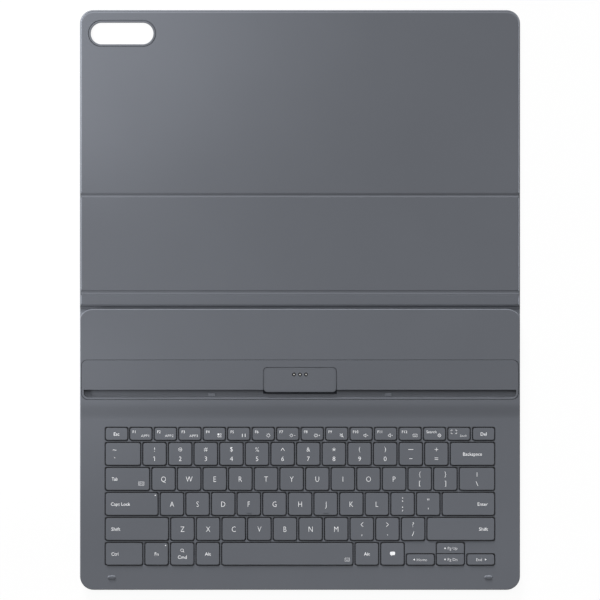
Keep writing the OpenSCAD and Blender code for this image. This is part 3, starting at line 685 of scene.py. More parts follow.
ringRect = boxOf("camera_window_ring")
windowRing = {
    "inset": 0.33 * mm,
    "band": 1.5 * mm,
    "edge": 0.04 * mm,
    "innerEdge": 0.35 * mm,
    "sink": 0.2 * mm,            # below the ring's own box
    "steps": 5,
    "cornerSteps": 24,
}


def rimProfile(top):
    # (inset from the edge, height, edge tone) from the underside, over the rim, to the sheet; the edge tone
    # paints a highlight line on the crest
    foot, width, inside = panel["footRadius"], panel["rimWidth"], panel["rimInside"]
    points = [(drop, inset, 0.0) for inset, drop, _ in rounding(foot, foot, panel["footSteps"])]
    for i, (inset, drop, _) in enumerate(rounding(*panel["rimCrown"], panel["crownSteps"])):
        points.append((inset, top - drop, min(max((i - panel["lightStart"]) / 2, 0), 1)))
    return points + [(width - inside, top, 1.0), (width, top - inside, 0.6), (width, panel["sheet"], 0.0)]


def makeClosingSkin(node, body):
    # sheet with a rim on three sides and a hole for the camera window
    rect = boxOf(node)
    bm = bmesh.new()
    rings = []
    for inset, z, tone in rimProfile(heightsOf(node)[1]):
        r = panel["farCorner"] - inset
        x0, x1, y1 = rect[0] + inset, rect[1] - inset, rect[3] - inset
        path = [(x1, rect[2]), *cornerArc(x1 - r, y1 - r, r, r, 0, panel["cornerSteps"])]
        path += [*cornerArc(x0 + r, y1 - r, r, r, 90, panel["cornerSteps"]), (x0, rect[2])]
        rings.append(addRing(bm, path, z, tone))
        # the painted highlight fades towards the far end
        for vert in rings[-1]:
            facing = max(vert.co.y - (y1 - r), 0) / r
            vert[bm.verts.layers.float["edgeTone"]] = tone * (1 - panel["farFade"] * facing * facing)
    for lower, upper in zip(rings, rings[1:]):
        for i in range(len(lower) - 1):
            bm.faces.new((lower[i], lower[i + 1], upper[i + 1], upper[i]))
    bm.faces.new([r[0] for r in rings] + [r[-1] for r in reversed(rings)])
    hole = stadium(ringRect, -windowRing["inset"])
    low, high = addRing(bm, hole, 0), addRing(bm, hole, panel["sheet"])
    bridge(bm, low, high)
    fillRegion(bm, rings[-1], [high])
    fillRegion(bm, rings[0], [low], up=False)
    place(finishMesh(node + "Form", bm, "skin"), body, "outer_skin", node)


def makeStripSkin(node, body):
    # channel with a rim at each side
    left, right, *ends = boxOf(node)
    profile = rimProfile(heightsOf(node)[1])
    section = [(right - inset, z, tone) for inset, z, tone in profile]
    section += [(left + inset, z, tone) for inset, z, tone in reversed(profile)]
    bm = bmesh.new()
    addSolid(bm, *[[addRing(bm, [(x, y)], z, tone)[0] for x, z, tone in section] for y in ends])
    place(finishMesh(node + "Form", bm, "skin"), body, "outer_skin", node)


def makeLining(node, body, nearSlope, farSlope, closing=False):
    rect = boxOf(node)
    low, high = heightsOf(node)
    near = (panel["liningCorner"],) * 2
    far = (panel["farCorner"] - panel["rimWidth"],) * 2 if closing else near
    side, drop = panel["liningSlope"], panel["liningDrop"]
    bm = bmesh.new()

    def ring(share, z, tone=0.0):
        inner = (rect[0] + side * share, rect[1] - side * share)
        inner += (rect[2] + nearSlope * share, rect[3] - farSlope * share)
        radii = tuple(max(r - side * share, panel["leastCorner"]) for r in far)
        return addRing(bm, outline(inner, near, radii, 0, panel["liningSteps"]), z, tone)

    rings = [ring(0, low)]
    rings += [ring(share, high - down * drop, tone) for share, down, tone in panel["liningEdge"]]
    bridge(bm, *rings)
    topHoles, lowHoles = [], []
    if closing:
        seam, topSeam = (stadium(ringRect, by) for by in panel["windowSeam"])
        heights = ((seam, low), (seam, high - panel["windowEdge"]), (topSeam, high))
        walls = [addRing(bm, points, z) for points, z in heights]
        bridge(bm, *walls)
        topHoles, lowHoles = [walls[-1]], [walls[0]]
    fillRegion(bm, rings[-1], topHoles)
    fillRegion(bm, rings[0], lowHoles, up=False)
    place(finishMesh(node + "Form", bm, "lining"), body, "inner_lining", node)


makeClosingSkin("cover_outer_skin", "cover_panel")
makeStripSkin("stand_outer_skin", "stand_panel")
makeStripSkin("spine_outer_skin", "spine")
makeLining("cover_lining", "cover_panel", 0.08 * mm, 0.9 * mm, closing=True)
makeLining("stand_lining", "stand_panel", 0.35 * mm, 0.2 * mm)
makeLining("spine_lining", "spine", 0.15 * mm, 0.2 * mm)
print("panels made")


# creases

crease = {
    "under": 0.05 * mm,
    "end": 0.7 * mm,             # how far in the strip falls off to its two ends
    "endHeight": 0.9 * mm,
    "along": 48,
    "across": 18,
    "bendShare": 0.42,           # half of the width that bends, as a share of the whole
    "bendHeight": 1.05 * mm,
    "tone": 0.6,                 # painted highlight along its two long edges
    "smooth": 60,
    # (distance from the keyboard side, height) across each crease, in mm
    "cover_crease_web": [(0, 2.38), (0.1, 2.37), (0.95, 2.11), (1.5, 2.11), (2.4, 2.31), (3.0, 2.39)],
    "stand_crease_web": [(0, 2.38), (0.8, 2.37), (1.45, 2.20), (2.0, 2.17), (2.65, 2.17), (3.35, 2.28)],
    "spine_crease_web": [(0, 1.1), (2.0, 1.1), (2.15, 1.5), (2.3, 2.1), (2.6, 2.28), (3.4, 2.36)],
}


def makeCrease(node, near, far):
    # pressed fabric strip across a fold; rows run across the case so that it can bend
    x0, x1, y0, y1 = boxOf(node)
    width = y1 - y0
    distances, levels = zip(*crease[node])
    steps = [i / crease["across"] for i in range(crease["across"] + 1)]
    bm = bmesh.new()
    columns = []
    for x in (x0, *np.linspace(x0 + crease["end"], x1 - crease["end"], crease["along"]), x1):
        column = []
        for s in steps:
            z = float(np.interp(s, np.array(distances) * mm / width, levels)) * mm
            if x in (x0, x1):
                z = min(z, crease["endHeight"])
            column += addRing(bm, [(x, y0 + width * s)], z, crease["tone"] if s in (0, 1) else 0.0)
        low = addRing(bm, [(x, y0 + width * s) for s in steps], crease["under"])
        columns.append(column + low[::-1])
    addSolid(bm, *columns)
    strip = finishMesh(node + "Form", bm, "crease", crease["smooth"])
    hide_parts(node)
    middle, half, z = (y0 + y1) / 2, width * crease["bendShare"], crease["bendHeight"]
    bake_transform(strip, near, far, start=(0, middle - half, z), end=(0, middle + half, z))


makeCrease("cover_crease_web", "stand_panel", "cover_panel")
makeCrease("stand_crease_web", "spine", "stand_panel")
makeCrease("spine_crease_web", "keyboard", "spine")
print("creases made")


# base skin

baseSkin = {
    "foot": 0.2 * mm,
    "rearCorner": (0.4 * mm, 0.4 * mm),
    "tones": (0.0, 0.2, 0.8, 0.3),    # painted highlight from the underside up
}


def makeBaseSkin():
    rect = boxOf("base_skin")
    low, high = heightsOf("base_skin")
    foot = baseSkin["foot"]
    bm = bmesh.new()
    corners = deck["frontCorner"], baseSkin["rearCorner"]
    profile = [(foot, low), (0, low + foot), (0, high - foot / 2), (foot / 2, high)]
    rings = []
    for (inset, z), tone in zip(profile, baseSkin["tones"]):
        rings.append(addRing(bm, outline(rect, *corners, inset, deck["cornerSteps"]), z, tone))
    bridge(bm, *rings)
    fillRegion(bm, rings[-1])
    fillRegion(bm, rings[0], up=False)
    place(finishMesh("baseSkinForm", bm, "skin"), "keyboard", "outer_skin", "base_skin")


makeBaseSkin()


# camera window ring

def makeWindowRing():
    low, high = heightsOf("camera_window_ring")
    high -= windowRing["sink"]
    band, edge, inner = windowRing["band"], windowRing["edge"], windowRing["innerEdge"]
    curve = rounding(inner, inner, windowRing["steps"])
    profile = [(0, low), (0, high - edge), (edge, high)]
    profile += [(band - drop, high - inset) for inset, drop, _ in curve]
    profile.append((band, low))
    bm = bmesh.new()
    out, steps = windowRing["inset"], windowRing["cornerSteps"]
    rings = [addRing(bm, stadium(ringRect, -out - inset, steps), z) for inset, z in profile]
    bridge(bm, *rings, rings[0])
    place(finishMesh("windowRingForm", bm, "trim"), "cover_panel", "window_trim", "camera_window_ring")


makeWindowRing()


# tray, groove and stops

tray = {
    "faceRise": 0.28 * mm,       # brings the visible face up to the deck
    "edge": 0.14 * mm,
    "grooveEdge": 0.16 * mm,
    "grooveSide": 1.6 * mm,      # from the tray's side
    "grooveLip": 1.2 * mm,       # from the tray's front
    "grooveWidth": 6 * mm,
    "grooveFloor": 2.1 * mm,
    "grooveSlot": 0.6 * mm,      # channel along the foot of the rear wall
    "grooveRear": 0.4 * mm,      # corner radii of the groove
    "grooveFront": 3.5 * mm,
    "filletRun": 2.3 * mm,       # slope at the foot of the groove's front wall
    "filletRise": 0.9 * mm,
    "recessFloor": 2.9 * mm,
    "recessGap": 0.3 * mm,       # seam round the connector block
    "recessCorner": 3 * mm,
    "relief": 2.9 * mm,
    "slotFloor": 0.15 * mm,      # above the tray's underside
    "tuck": 0.3 * mm,            # how far floors and slopes run into the walls
    "lap": 0.01 * mm,            # how far the slope's foot sinks into the floor
}
blockRect = boxOf("pogo_block")


def makeTray():
    face = boxOf("tray_insert")
    low, high = heightsOf("tray_insert")
    gx0, gx1 = face[0] + tray["grooveSide"], face[1] - tray["grooveSide"]
    gy0 = face[2] + tray["grooveLip"]
    gy1 = gy0 + tray["grooveWidth"]
    gap = tray["recessGap"]
    rx0, rx1, ry1 = blockRect[0] - gap, blockRect[1] + gap, blockRect[3] + gap
    rear, front, corner = tray["grooveRear"], tray["grooveFront"], tray["recessCorner"]

    def well(inset):
        # groove with the connector recess behind it, grown outwards by a negative inset
        a, b, c, d = gx0 + inset, gx1 - inset, gy0 + inset, gy1 - inset
        left, right, top = rx0 + inset, rx1 - inset, ry1 - inset
        r, f, s, steps = rear - inset, front - inset, corner - inset, deck["traySteps"]
        points = [*cornerArc(b - r, d - r, r, r, 0, steps), (right, d)]
        points += cornerArc(right - s, top - s, s, s, 0, steps)
        points += [*cornerArc(left + s, top - s, s, s, 90, steps), (left, d)]
        points += cornerArc(a + r, d - r, r, r, 90, steps)
        points += cornerArc(a + f, c + f, f, f, 180, steps)
        return points + cornerArc(b - f, c + f, f, f, 270, steps)

    bm = bmesh.new()
    wells = [(well, tray["grooveEdge"])]
    top = high + tray["faceRise"]
    # its rounded edges carry the edge tone: painted highlight
    slab(bm, lambda i: trayOutline(face, i), low, top, tray["edge"], wells)
    tuck, floorZ = tray["tuck"], tray["grooveFloor"]
    notch = gy1 - tray["relief"]
    for back, level in ((gy1 - tray["grooveSlot"], floorZ), (gy1 + tuck, low + tray["slotFloor"])):
        floor = [(gx1 + tuck, gy0 - tuck), (gx1 + tuck, back), (rx1, back), (rx1, notch)]
        floor += [(rx0, notch), (rx0, back), (gx0 - tuck, back), (gx0 - tuck, gy0 - tuck)]
        slab(bm, lambda i, f=floor: f, low, level)
    run, rise = tray["filletRun"], tray["filletRise"]
    slope = [(gy0 + run, floorZ - tray["lap"]), (gy0 - tuck, floorZ + rise * (1 + tuck / run))]
    slope.append((gy0 - tuck, low))
    addBeam(bm, gx0 - tuck, gx1 + tuck, slope)
    recess = [(rx1 + tuck, gy1), (rx1 + tuck, ry1 + tuck), (rx0 - tuck, ry1 + tuck), (rx0 - tuck, gy1)]
    slab(bm, lambda i: recess, low, tray["recessFloor"])
    place(finishMesh("trayForm", bm, "tray", weld=False), "keyboard", "tray_plastic", "tray_insert")


pads = {
    # drop is that of the top below the box, slope the share of the height lost to the rear,
    # steps are those round a corner and up the edge
    "tray_stops": {
        "name": "trayStops", "finish": "stop", "slot": "tray_plastic",
        "length": 5 * mm, "corner": 0.5 * mm, "edge": 0.3 * mm,
        "drop": 0.0, "slope": 0.25, "steps": (8, 4),
    },
    "front_bumpers": {
        "name": "frontBumpers", "finish": "bumper", "slot": "bumper_rubber",
        "length": 5.8 * mm, "corner": 1.18 * mm, "edge": 0.5 * mm,
        "drop": 0.25 * mm, "slope": 0.0, "steps": (8, 4),
    },
}


def makePads(node, pad):
    # one rounded pad at each end of the node's box
    x0, x1, y0, y1 = boxOf(node)
    low, high = heightsOf(node)
    fall = pad["slope"] * (high - low) / (y1 - y0)
    about, up = pad["steps"]
    bm = bmesh.new()
    for left in (x0, x1 - pad["length"]):
        rect = (left, left + pad["length"], y0, y1)
        # the rounded edges carry the edge tone: painted highlight, strong on the bumpers, faint on the stops
        slab(bm, lambda i, r=rect: evenOutline(r, pad["corner"], i, about),
             low, lambda y: high - pad["drop"] - fall * (y - y0), pad["edge"], steps=up)
    place(finishMesh(pad["name"], bm, pad["finish"]), "keyboard", pad["slot"], node)


makeTray()
for padNode, pad in pads.items():
    makePads(padNode, pad)
print("tray made")


# connector block and contacts

connector = {
    "corner": 3 * mm,
    "cornerSteps": 8,
    "edge": 0.3 * mm,
    "edgeSteps": 4,
    "bodyCorner": 0.05 * mm,
    "lip": 0.6 * mm,             # thickness of the part over the groove
    "lipReach": 3.65 * mm,
    "lipBack": 0.5 * mm,         # of the lip's front from the block's box
    "fade": 1.4 * mm,            # how far the painted shade of its border reaches in
    "holeEdge": 0.08 * mm,
    "wellEdge": 0.001 * mm,
    "knuckle": 0.65 * mm,
    "knuckleFacets": 20,
    "knuckleLength": 2.5 * mm,
    "pivot": 2.95 * mm,          # from the block's front edge back to its axis
    "pivotHeight": 3.75 * mm,
}
# near-black ring that fills the hole round each contact: painted shade
bezel = {
    "out": 1.5 * mm,
    "in": 0.53 * mm,
    "gap": 0.01 * mm,            # round it, in its hole
    "slope": 0.15 * mm,
    "drop": 0.1 * mm,            # of the slope's foot below its face
    "sink": 0.08 * mm,
    "tone": 0.5,
    "facets": 32,
}
pin = {
    "radius": 0.48 * mm,
    "foot": 0.35,                # its radius as a share of the pin's
    "footRise": 0.1 * mm,
    "crown": 0.36 * mm,
    "crownEnd": 80,              # degrees up the crown where its flat top begins
    "crownSteps": 5,
    "collar": (1.15 * mm, 0.8 * mm),    # its foot and its top, below the tip
    "facets": 24,
}
pinBodies = {
    "pogo_pin_left": "contact_left", "pogo_pin_middle": "contact_middle", "pogo_pin_right": "contact_right",
}


def makeConnector():
    x0, x1, y0, y1 = blockRect
    low, high = heightsOf("pogo_board")[1], heightsOf("pogo_block")[1]
    r, lipZ, steps = connector["corner"], high - connector["lip"], connector["cornerSteps"]
    bm = bmesh.new()
    holes, wells = [], []
    for node in pinBodies:
        hole = lambda i, c=middleOf(boxOf(node)): circle(*c, bezel["out"] + i, bezel["facets"])
        holes.append((hole, connector["holeEdge"]))
        wells.append((lambda i, h=hole: h(0), connector["wellEdge"]))
    lipRect = (x0, x1, y0 + connector["lipBack"], y1)
    slab(bm, lambda i: evenOutline(lipRect, r, i, steps), lipZ, high,
         connector["edge"], holes, connector["edgeSteps"], connector["fade"])
    bodyRect = (x0, x1, y0 + connector["lipReach"], y1)
    square = (connector["bodyCorner"],) * 2
    slab(bm, lambda i: outline(bodyRect, square, (r, r), 0, steps), low, lipZ, 0, wells)
    length = connector["knuckleLength"]
    axis = (y0 + connector["pivot"], connector["pivotHeight"])
    knuckle = circle(*axis, connector["knuckle"], connector["knuckleFacets"])
    for side in (x0, x1 - length):
        addBeam(bm, side, side + length, knuckle)
    block = finishMesh("connectorForm", bm, "connector", weld=False)
    place(block, "connector", "connector_plastic", "pogo_block")


def makeHoleShades():
    # near-black ring in the hole round each contact, sunk a little below the block's face: painted shade of
    # the hole, with a faint painted highlight on its inner slope
    low, high = heightsOf("pogo_board")[1], heightsOf("pogo_block")[1] - bezel["sink"]
    wide, narrow = bezel["out"] - bezel["gap"], bezel["in"]
    profile = [(wide, low, 0.0), (wide, high, 0.0), (narrow + bezel["slope"], high, bezel["tone"])]
    profile += [(narrow, high - bezel["drop"], 0.0), (narrow, low, 0.0)]
    bm = bmesh.new()
    for node in pinBodies:
        centre = middleOf(boxOf(node))
        rings = [addRing(bm, circle(*centre, r, bezel["facets"]), z, tone) for r, z, tone in profile]
        bridge(bm, *rings, rings[0])
    place(finishMesh("contactBezels", bm, "bezel"), "connector", "connector_plastic")


def makePin(node, body):
    rect = boxOf(node)
    low, high = heightsOf(node)
    wide = (rect[1] - rect[0]) / 2    # of the collar
    collarLow, collarHigh = (high - below for below in pin["collar"])
    r, crown, last = pin["radius"], pin["crown"], math.radians(pin["crownEnd"])
    profile = [(pin["foot"] * r, low), (r, low + pin["footRise"]), (r, collarLow)]
    profile += [(wide, collarLow), (wide, collarHigh), (r, collarHigh)]
    for i in range(pin["crownSteps"] + 1):
        a = last * i / pin["crownSteps"]
        profile.append((r * math.cos(a), high - crown + crown * math.sin(a) / math.sin(last)))
    bm = bmesh.new()
    addTurned(bm, *middleOf(rect), profile, pin["facets"])
    place(finishMesh(node + "Form", bm, "contact"), body, "contact_gold", node)


makeConnector()
makeHoleShades()
for pinNode, pinBody in pinBodies.items():
    makePin(pinNode, pinBody)
print("connector made")


# keycaps

keycap = {
    "corner": 1.6 * mm,
    "pairCorner": 0.3 * mm,      # where the two half keys face each other
    "bevel": 0.18 * mm,
    "bevelSteps": 3,
    "weld": 0.001 * mm,
    "bevelAngle": 50,            # edges sharper than this are bevelled
    "tone": (0.9, 0.02),         # shares of the bevel that the painted shade lies between
    "arcSteps": 6,
    "smooth": 50,
}


def repeatOn(tree, points, form, material, outlet):
    # sets the form on every point, makes the copies real and gives them their material
    copies = addNode(tree, "GeometryNodeInstanceOnPoints", None, Points=points, Instance=form)
    real = addNode(tree, "GeometryNodeRealizeInstances", None, Geometry=copies.outputs["Instances"])
    painted = addNode(tree, "GeometryNodeSetMaterial", None, Material=material)
    feed(tree, real.outputs["Geometry"], painted.inputs["Geometry"])
    feed(tree, painted.outputs["Geometry"], outlet["Geometry"])


def keyRowTree():
    # a row of rounded plates: one outline, filled, raised and repeated
    sizes = ("Pitch", "Width", "Depth", "Thickness", "Front Corner", "Rear Corner")
    inputs = {label: ("Float", None) for label in sizes}
    inputs.update({"Count": ("Int", None), "Arc Steps": ("Int", None)})
    inputs.update({"Start": ("Vector", None), "Material": ("Material", None)})
    tree, inlet, outlet = newGroup("keyRow", inputs, {"Geometry": "Geometry"}, "GeometryNodeTree")
    quad = addNode(
        tree, "GeometryNodeCurvePrimitiveQuadrilateral", None, Width=inlet["Width"], Height=inlet["Depth"])
    position = addNode(tree, "GeometryNodeInputPosition").outputs["Position"]
    parts = addNode(tree, "ShaderNodeSeparateXYZ", None, Vector=position)
    atRear = mathNode(tree, "GREATER_THAN", parts.outputs["Y"], 0.0)
    fillet = addNode(
        tree, "GeometryNodeFilletCurve", {"mode": "POLY"}, Curve=quad.outputs["Curve"],
        Count=inlet["Arc Steps"], Radius=rangeNode(tree, atRear, inlet["Front Corner"], inlet["Rear Corner"]))
    fill = addNode(tree, "GeometryNodeFillCurve", {"mode": "NGONS"}, Curve=fillet.outputs["Curve"])
    raised = addNode(
        tree, "GeometryNodeExtrudeMesh", {"mode": "FACES"},
        Mesh=fill.outputs["Mesh"], Offset_Scale=inlet["Thickness"])
    under = addNode(tree, "GeometryNodeFlipFaces", None, Mesh=fill.outputs["Mesh"])
    joined = addNode(tree, "GeometryNodeJoinGeometry", None, Geometry=under.outputs["Mesh"])
    feedNode(tree, joined, Geometry=raised.outputs["Mesh"])
    plate = addNode(
        tree, "GeometryNodeMergeByDistance", None, Geometry=joined.outputs["Geometry"],
        Distance=keycap["weld"])
    step = addNode(tree, "ShaderNodeCombineXYZ", None, X=inlet["Pitch"])
    places = addNode(
        tree, "GeometryNodeMeshLine", {"mode": "OFFSET"}, Count=inlet["Count"],
        Start_Location=inlet["Start"], Offset=step.outputs["Vector"])
    repeatOn(tree, places.outputs["Mesh"], plate.outputs["Geometry"], inlet["Material"], outlet)
    return tree


def addTreeModifier(obj, tree, values):
    modifier = obj.modifiers.new(tree.name, "NODES")
    modifier.node_group = tree
    for item in tree.interface.items_tree:
        if item.in_out == "INPUT" and item.name in values:
            modifier[item.identifier] = values[item.name]


keyRow = keyRowTree()
keyBodies = {}
for body, members in frame["record"]["behaviour"]["bodies"].items():
    keyBodies.update({member: body for member in members})


def makeKeys(node):
    rects = keyRects[node]
    low, high = heightsOf(node)
    x0, x1, y0, y1 = rects[0]
    obj = addObject(node + "Caps", bpy.data.meshes.new(node + "Caps"))
    small = keycap["pairCorner"]
    addTreeModifier(obj, keyRow, {
        "Count": len(rects),
        "Pitch": rects[1][0] - x0 if len(rects) > 1 else 0.0,
        "Width": x1 - x0,
        "Depth": y1 - y0,
        "Thickness": high - low,
        "Front Corner": small if node == "page_up_key" else keycap["corner"],
        "Rear Corner": small if node == "page_down_key" else keycap["corner"],
        "Arc Steps": keycap["arcSteps"],
        "Start": (*middleOf(rects[0]), low),
        "Material": finishes["keycap"],
    })
    softened = obj.modifiers.new("softened", "BEVEL")
    softened.width = keycap["bevel"]
    softened.segments = keycap["bevelSteps"]
    softened.limit_method = "ANGLE"
    softened.angle_limit = math.radians(keycap["bevelAngle"])
    bake(obj)
    # painted shade on the bevel of each cap
    foot, crest = (high - share * keycap["bevel"] for share in keycap["tone"])
    tones = obj.data.attributes.new("edgeTone", "FLOAT", "POINT")
    tones.data.foreach_set("value", [float(foot < v.co.z < crest) for v in obj.data.vertices])
    place(settle(obj, keycap["smooth"]), keyBodies[node], "keycap_plastic", node)


for nodeName in keyRects:
    makeKeys(nodeName)
print("keycaps made:", sum(len(r) for r in keyRects.values()))


# rubber domes and scissor frames under the caps

spring = {
    "domeRadius": 2.235 * mm,
    "domeCount": 14,             # facets round a dome
    "wall": 0.35 * mm,
    # (share of the radius, share of the height); the wall comes off the inner ones
    "domeInner": ((0.7, 0.65), (0.94, 0.3), (1, 0)),
    "domeOuter": ((1, 0), (1, 0.12), (0.94, 0.3), (0.7, 0.75), (0.55, 0.94), (0.44, 1)),
    "frameHalf": (5.0 * mm, 3.335 * mm),
    "bar": 0.8 * mm,
    "edge": 0.1 * mm,
    "pressed": 0.30 * mm,        # height that is left under a pressed key
    "smooth": 40,
}


def springTree():
    # one form set on every point
    tree, inlet, outlet = newGroup(
        "springField", {kind: (kind, None) for kind in ("Geometry", "Object", "Material")},
        {"Geometry": "Geometry"}, "GeometryNodeTree")
    form = addNode(tree, "GeometryNodeObjectInfo", {"transform_space": "ORIGINAL"}, Object=inlet["Object"])
    repeatOn(tree, inlet["Geometry"], form.outputs["Geometry"], inlet["Material"], outlet)
    return tree


def domeForm(rise):
    # a hollow bell, open below, with its foot at the origin
    r, wall = spring["domeRadius"], spring["wall"]
    profile = [(a * r - wall, b * rise) for a, b in spring["domeInner"]]
    profile += [(a * r, b * rise) for a, b in spring["domeOuter"]]
    bm = bmesh.new()
    addTurned(bm, 0, 0, profile, spring["domeCount"])
    return bm


def scissorForm(rise):
    # an oblong frame
    w, h = spring["frameHalf"]
    bar, edge = spring["bar"], spring["edge"]
    bm = bmesh.new()
    rings = []
    profile = [(0, 0), (0, rise - edge), (edge, rise), (bar - edge, rise), (bar, rise - edge), (bar, 0)]
    for inset, z in profile:
        a, b = w - inset, h - inset
        rings.append(addRing(bm, [(-a, -b), (a, -b), (a, b), (-a, b)], z))
    bridge(bm, *rings, rings[0])
    return bm


def makeSprings(name, node, makeForm, finish, slotName):
    low, high = heightsOf(node)
    form = makeForm(high - low)
    mesh = bpy.data.meshes.new(name + "Shape")
    bmesh.ops.recalc_face_normals(form, faces=form.faces)
    form.to_mesh(mesh)
    form.free()
    shape = addObject(name + "Shape", mesh)
    for keyNode, rects in keyRects.items():
        places = bpy.data.meshes.new(keyNode + name)
        places.from_pydata([(*middleOf(r), low) for r in rects], [], [])
        obj = addObject(keyNode + name, places)
        addTreeModifier(obj, springs, {"Object": shape, "Material": finishes[finish]})
        place(settle(obj, spring["smooth"]), "keyboard", slotName, node)
        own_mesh(obj)
    bpy.data.objects.remove(shape)


springs = springTree()
makeSprings("Domes", "rubber_domes", domeForm, "dome", "dome_rubber")
makeSprings("Scissors", "key_scissors", scissorForm, "scissor", "scissor_plastic")
print("domes and scissors made")


# printed legends; every length of theirs is in mm, from the middle of the cap or of the sign

legend = {
    "thickness": 0.02,
    "sink": 0.01,
    "capShare": 0.73,            # height of a capital in a size of 1
    "upper": 3.3,                # symbol above a digit
    "lower": -3.5,
    "lowest": -4.4,              # full stop and comma
    "stroke": 0.235,             # of the signs
    "symbolStroke": 0.34,
    "letterStretch": 0.84,
    "symbolShare": 0.95,         # size of a symbol that is text, as a share of a digit's
    # on a function key, its name and corner marks from its left edge, and what is at its right
    "functionName": (1.9, 1.6),
    "functionCorners": (4.1, 1.5),
    "functionWord": -1.35,
    "functionSign": -1.1,
    "smooth": 30,
    # height of a capital and weight of the strokes of each kind of text
    "letter": (4.3, -0.015),
    "digit": (3.6, -0.012),
    "word": (2.6, 0.0),
    "command": (2.7, 0.0),
    "arrow": (2.15, -0.012),
    "function": (2.1, -0.002),
    "application": (2.0, -0.015),
    "dock": (1.75, -0.015),
}
textMeshes = {}


def moved(at, dx, dy):
    # a place is (bmesh, x, y, z)
    bm, x, y, z = at
    return bm, x + dx * mm, y + dy * mm, z


def textPrism(words, height, stretch, weight):
    key = words, height, stretch, weight
    if key not in textMeshes:
        curve = bpy.data.curves.new("legend", "FONT")
        curve.body = words
        curve.size = height * mm / legend["capShare"]
        curve.offset = weight * curve.size
        curve.resolution_u = 2
        curve.extrude = legend["thickness"] * mm / 2
        obj = addObject("legend", curve)
        depsgraph = bpy.context.evaluated_depsgraph_get()
        depsgraph.update()
        mesh = bpy.data.meshes.new_from_object(obj.evaluated_get(depsgraph))
        bpy.data.objects.remove(obj)
        bpy.data.curves.remove(curve)
        for vert in mesh.vertices:
            vert.co.x *= stretch
        textMeshes[key] = mesh
    return textMeshes[key]


def addText(at, words, style, anchor=0.5, stretch=1.0, share=1.0, middle=False):
    # anchor is 0 for the left end at the place, 0.5 for the centre, 1 for the right end
    bm, x, y, z = at
    height, weight = legend[style]
    height *= share
    first = len(bm.verts)
    bm.from_mesh(textPrism(words, height, stretch, weight))
    bm.verts.ensure_lookup_table()
    added = bm.verts[first:]
    xs, ys = [v.co.x for v in added], [v.co.y for v in added]
    left, right = min(xs), max(xs)
    low, high = (min(ys), max(ys)) if middle else (0, height * mm)
    shift = Vector((x - left - anchor * (right - left), y - (low + high) / 2, z))
    for vert in added:
        vert.co += shift


def layer(at, points, side):
    # points at the upper (1) or lower (-1) face of the print
    bm, x, y, z = at
    level = z + side * legend["thickness"] * mm / 2
    return [bm.verts.new((x + a * mm, y + b * mm, level)) for a, b in points]


def addPlate(at, points):
    addSolid(at[0], layer(at, points, -1), layer(at, points, 1))


def addBand(at, shape, width):
    # flat band from the outline shape(0) inwards
    rings = [layer(at, shape(inset), side) for inset, side in ((0, -1), (0, 1), (width, 1), (width, -1))]
    bridge(at[0], *rings, rings[0])


def addLine(at, points, width=None):
    # joined bars
    half = (width or legend["stroke"]) / 2
    for a, b in zip(points, points[1:]):
        a, b = Vector(a), Vector(b)
        side = Vector((a.y - b.y, b.x - a.x)).normalized() * half
        addPlate(at, [a - side, b - side, b + side, a + side])


def addDot(at, r):
    addPlate(at, circle(0, 0, r, 12))


def addHoop(at, r, width=None, count=20):
    width = width or legend["stroke"]
    addBand(at, lambda inset: circle(0, 0, r + width / 2 - inset, count), width)


def addFrame(at, w, h, width, corner=0.2):
    rect = (-w / 2, w / 2, -h / 2, h / 2)
    addBand(at, lambda inset: evenOutline(rect, corner + width, inset, 3), width)


def addRays(at, near, far):
    for i in range(8):
        c, s = math.cos(math.pi * i / 4), math.sin(math.pi * i / 4)
        addLine(at, [(near * c, near * s), (far * c, far * s)])


def addMark(at, mark):
    # minus or plus
    addLine(at, [(-0.5, 0), (0.5, 0)])
    if mark == "+":
        addLine(at, [(0, -0.5), (0, 0.5)])


def signGrid(at):
    # four small tiles, one of them solid
    for dx in (-0.85, 0.85):
        for dy in (-0.8, 0.8):
            tile = moved(at, dx, dy)
            if dx < 0 < dy:
                addPlate(tile, evenOutline((-0.6, 0.6, -0.6, 0.6), 0.2, 0, 3))
            else:
                addFrame(tile, 1.2, 1.2, 0.2)


def signBars(at):
    for x in (-1.05, 1.05):
        addLine(at, [(x, -1.2), (x, 1.2)], 0.4)


def signSun(at, r=1.05, mark=None):
    addHoop(at, r, 0.22)
    addRays(at, r + 0.3, r + 0.62)
    if mark:
        addMark(moved(at, 2.5, 0), mark)


def signSpeaker(at, mark=None):
    horn = [(-0.7, 0.5), (0.3, 1.35), (0.3, -1.35), (-0.7, -0.5)]
    addLine(at, [(-1.3, 0.5), *horn, (-1.3, -0.5), (-1.3, 0.5)])
    if mark:
        addMark(moved(at, 1.5, 0), mark)
    else:
        addLine(at, [(-1.5, 1.4), (1.3, -1.4)])


def signKeyboard(at, w=3.6, h=2.6):
    addFrame(at, w, h, 0.17)
    for i in range(4):
        addDot(moved(at, (i - 1.5) * 0.7, 0.4), 0.14)
    addLine(at, [(-0.9, -0.45), (0.9, -0.45)], 0.2)


def signPanes(at):
    addFrame(at, 4.3, 3.0, 0.18)
    for dx in (-0.95, 0.95):
        addFrame(moved(at, dx, 0), 1.15, 1.5, 0.16, 0.1)


def signLens(at):
    addHoop(moved(at, -0.15, 0.2), 1.05, 0.28)
    addLine(at, [(0.6, -0.55), (1.35, -1.3)], 0.34)


def signGear(at):
    addHoop(at, 1.0, 0.24)
    addHoop(at, 0.4, 0.18, 12)
    addRays(at, 1.1, 1.5)


def signCorners(at):
    for sx in (-1, 1):
        for sy in (-1, 1):
            addLine(at, [(sx * 0.9, sy * 1.35), (sx * 2.1, sy * 1.35), (sx * 2.1, sy * 0.45)], 0.26)


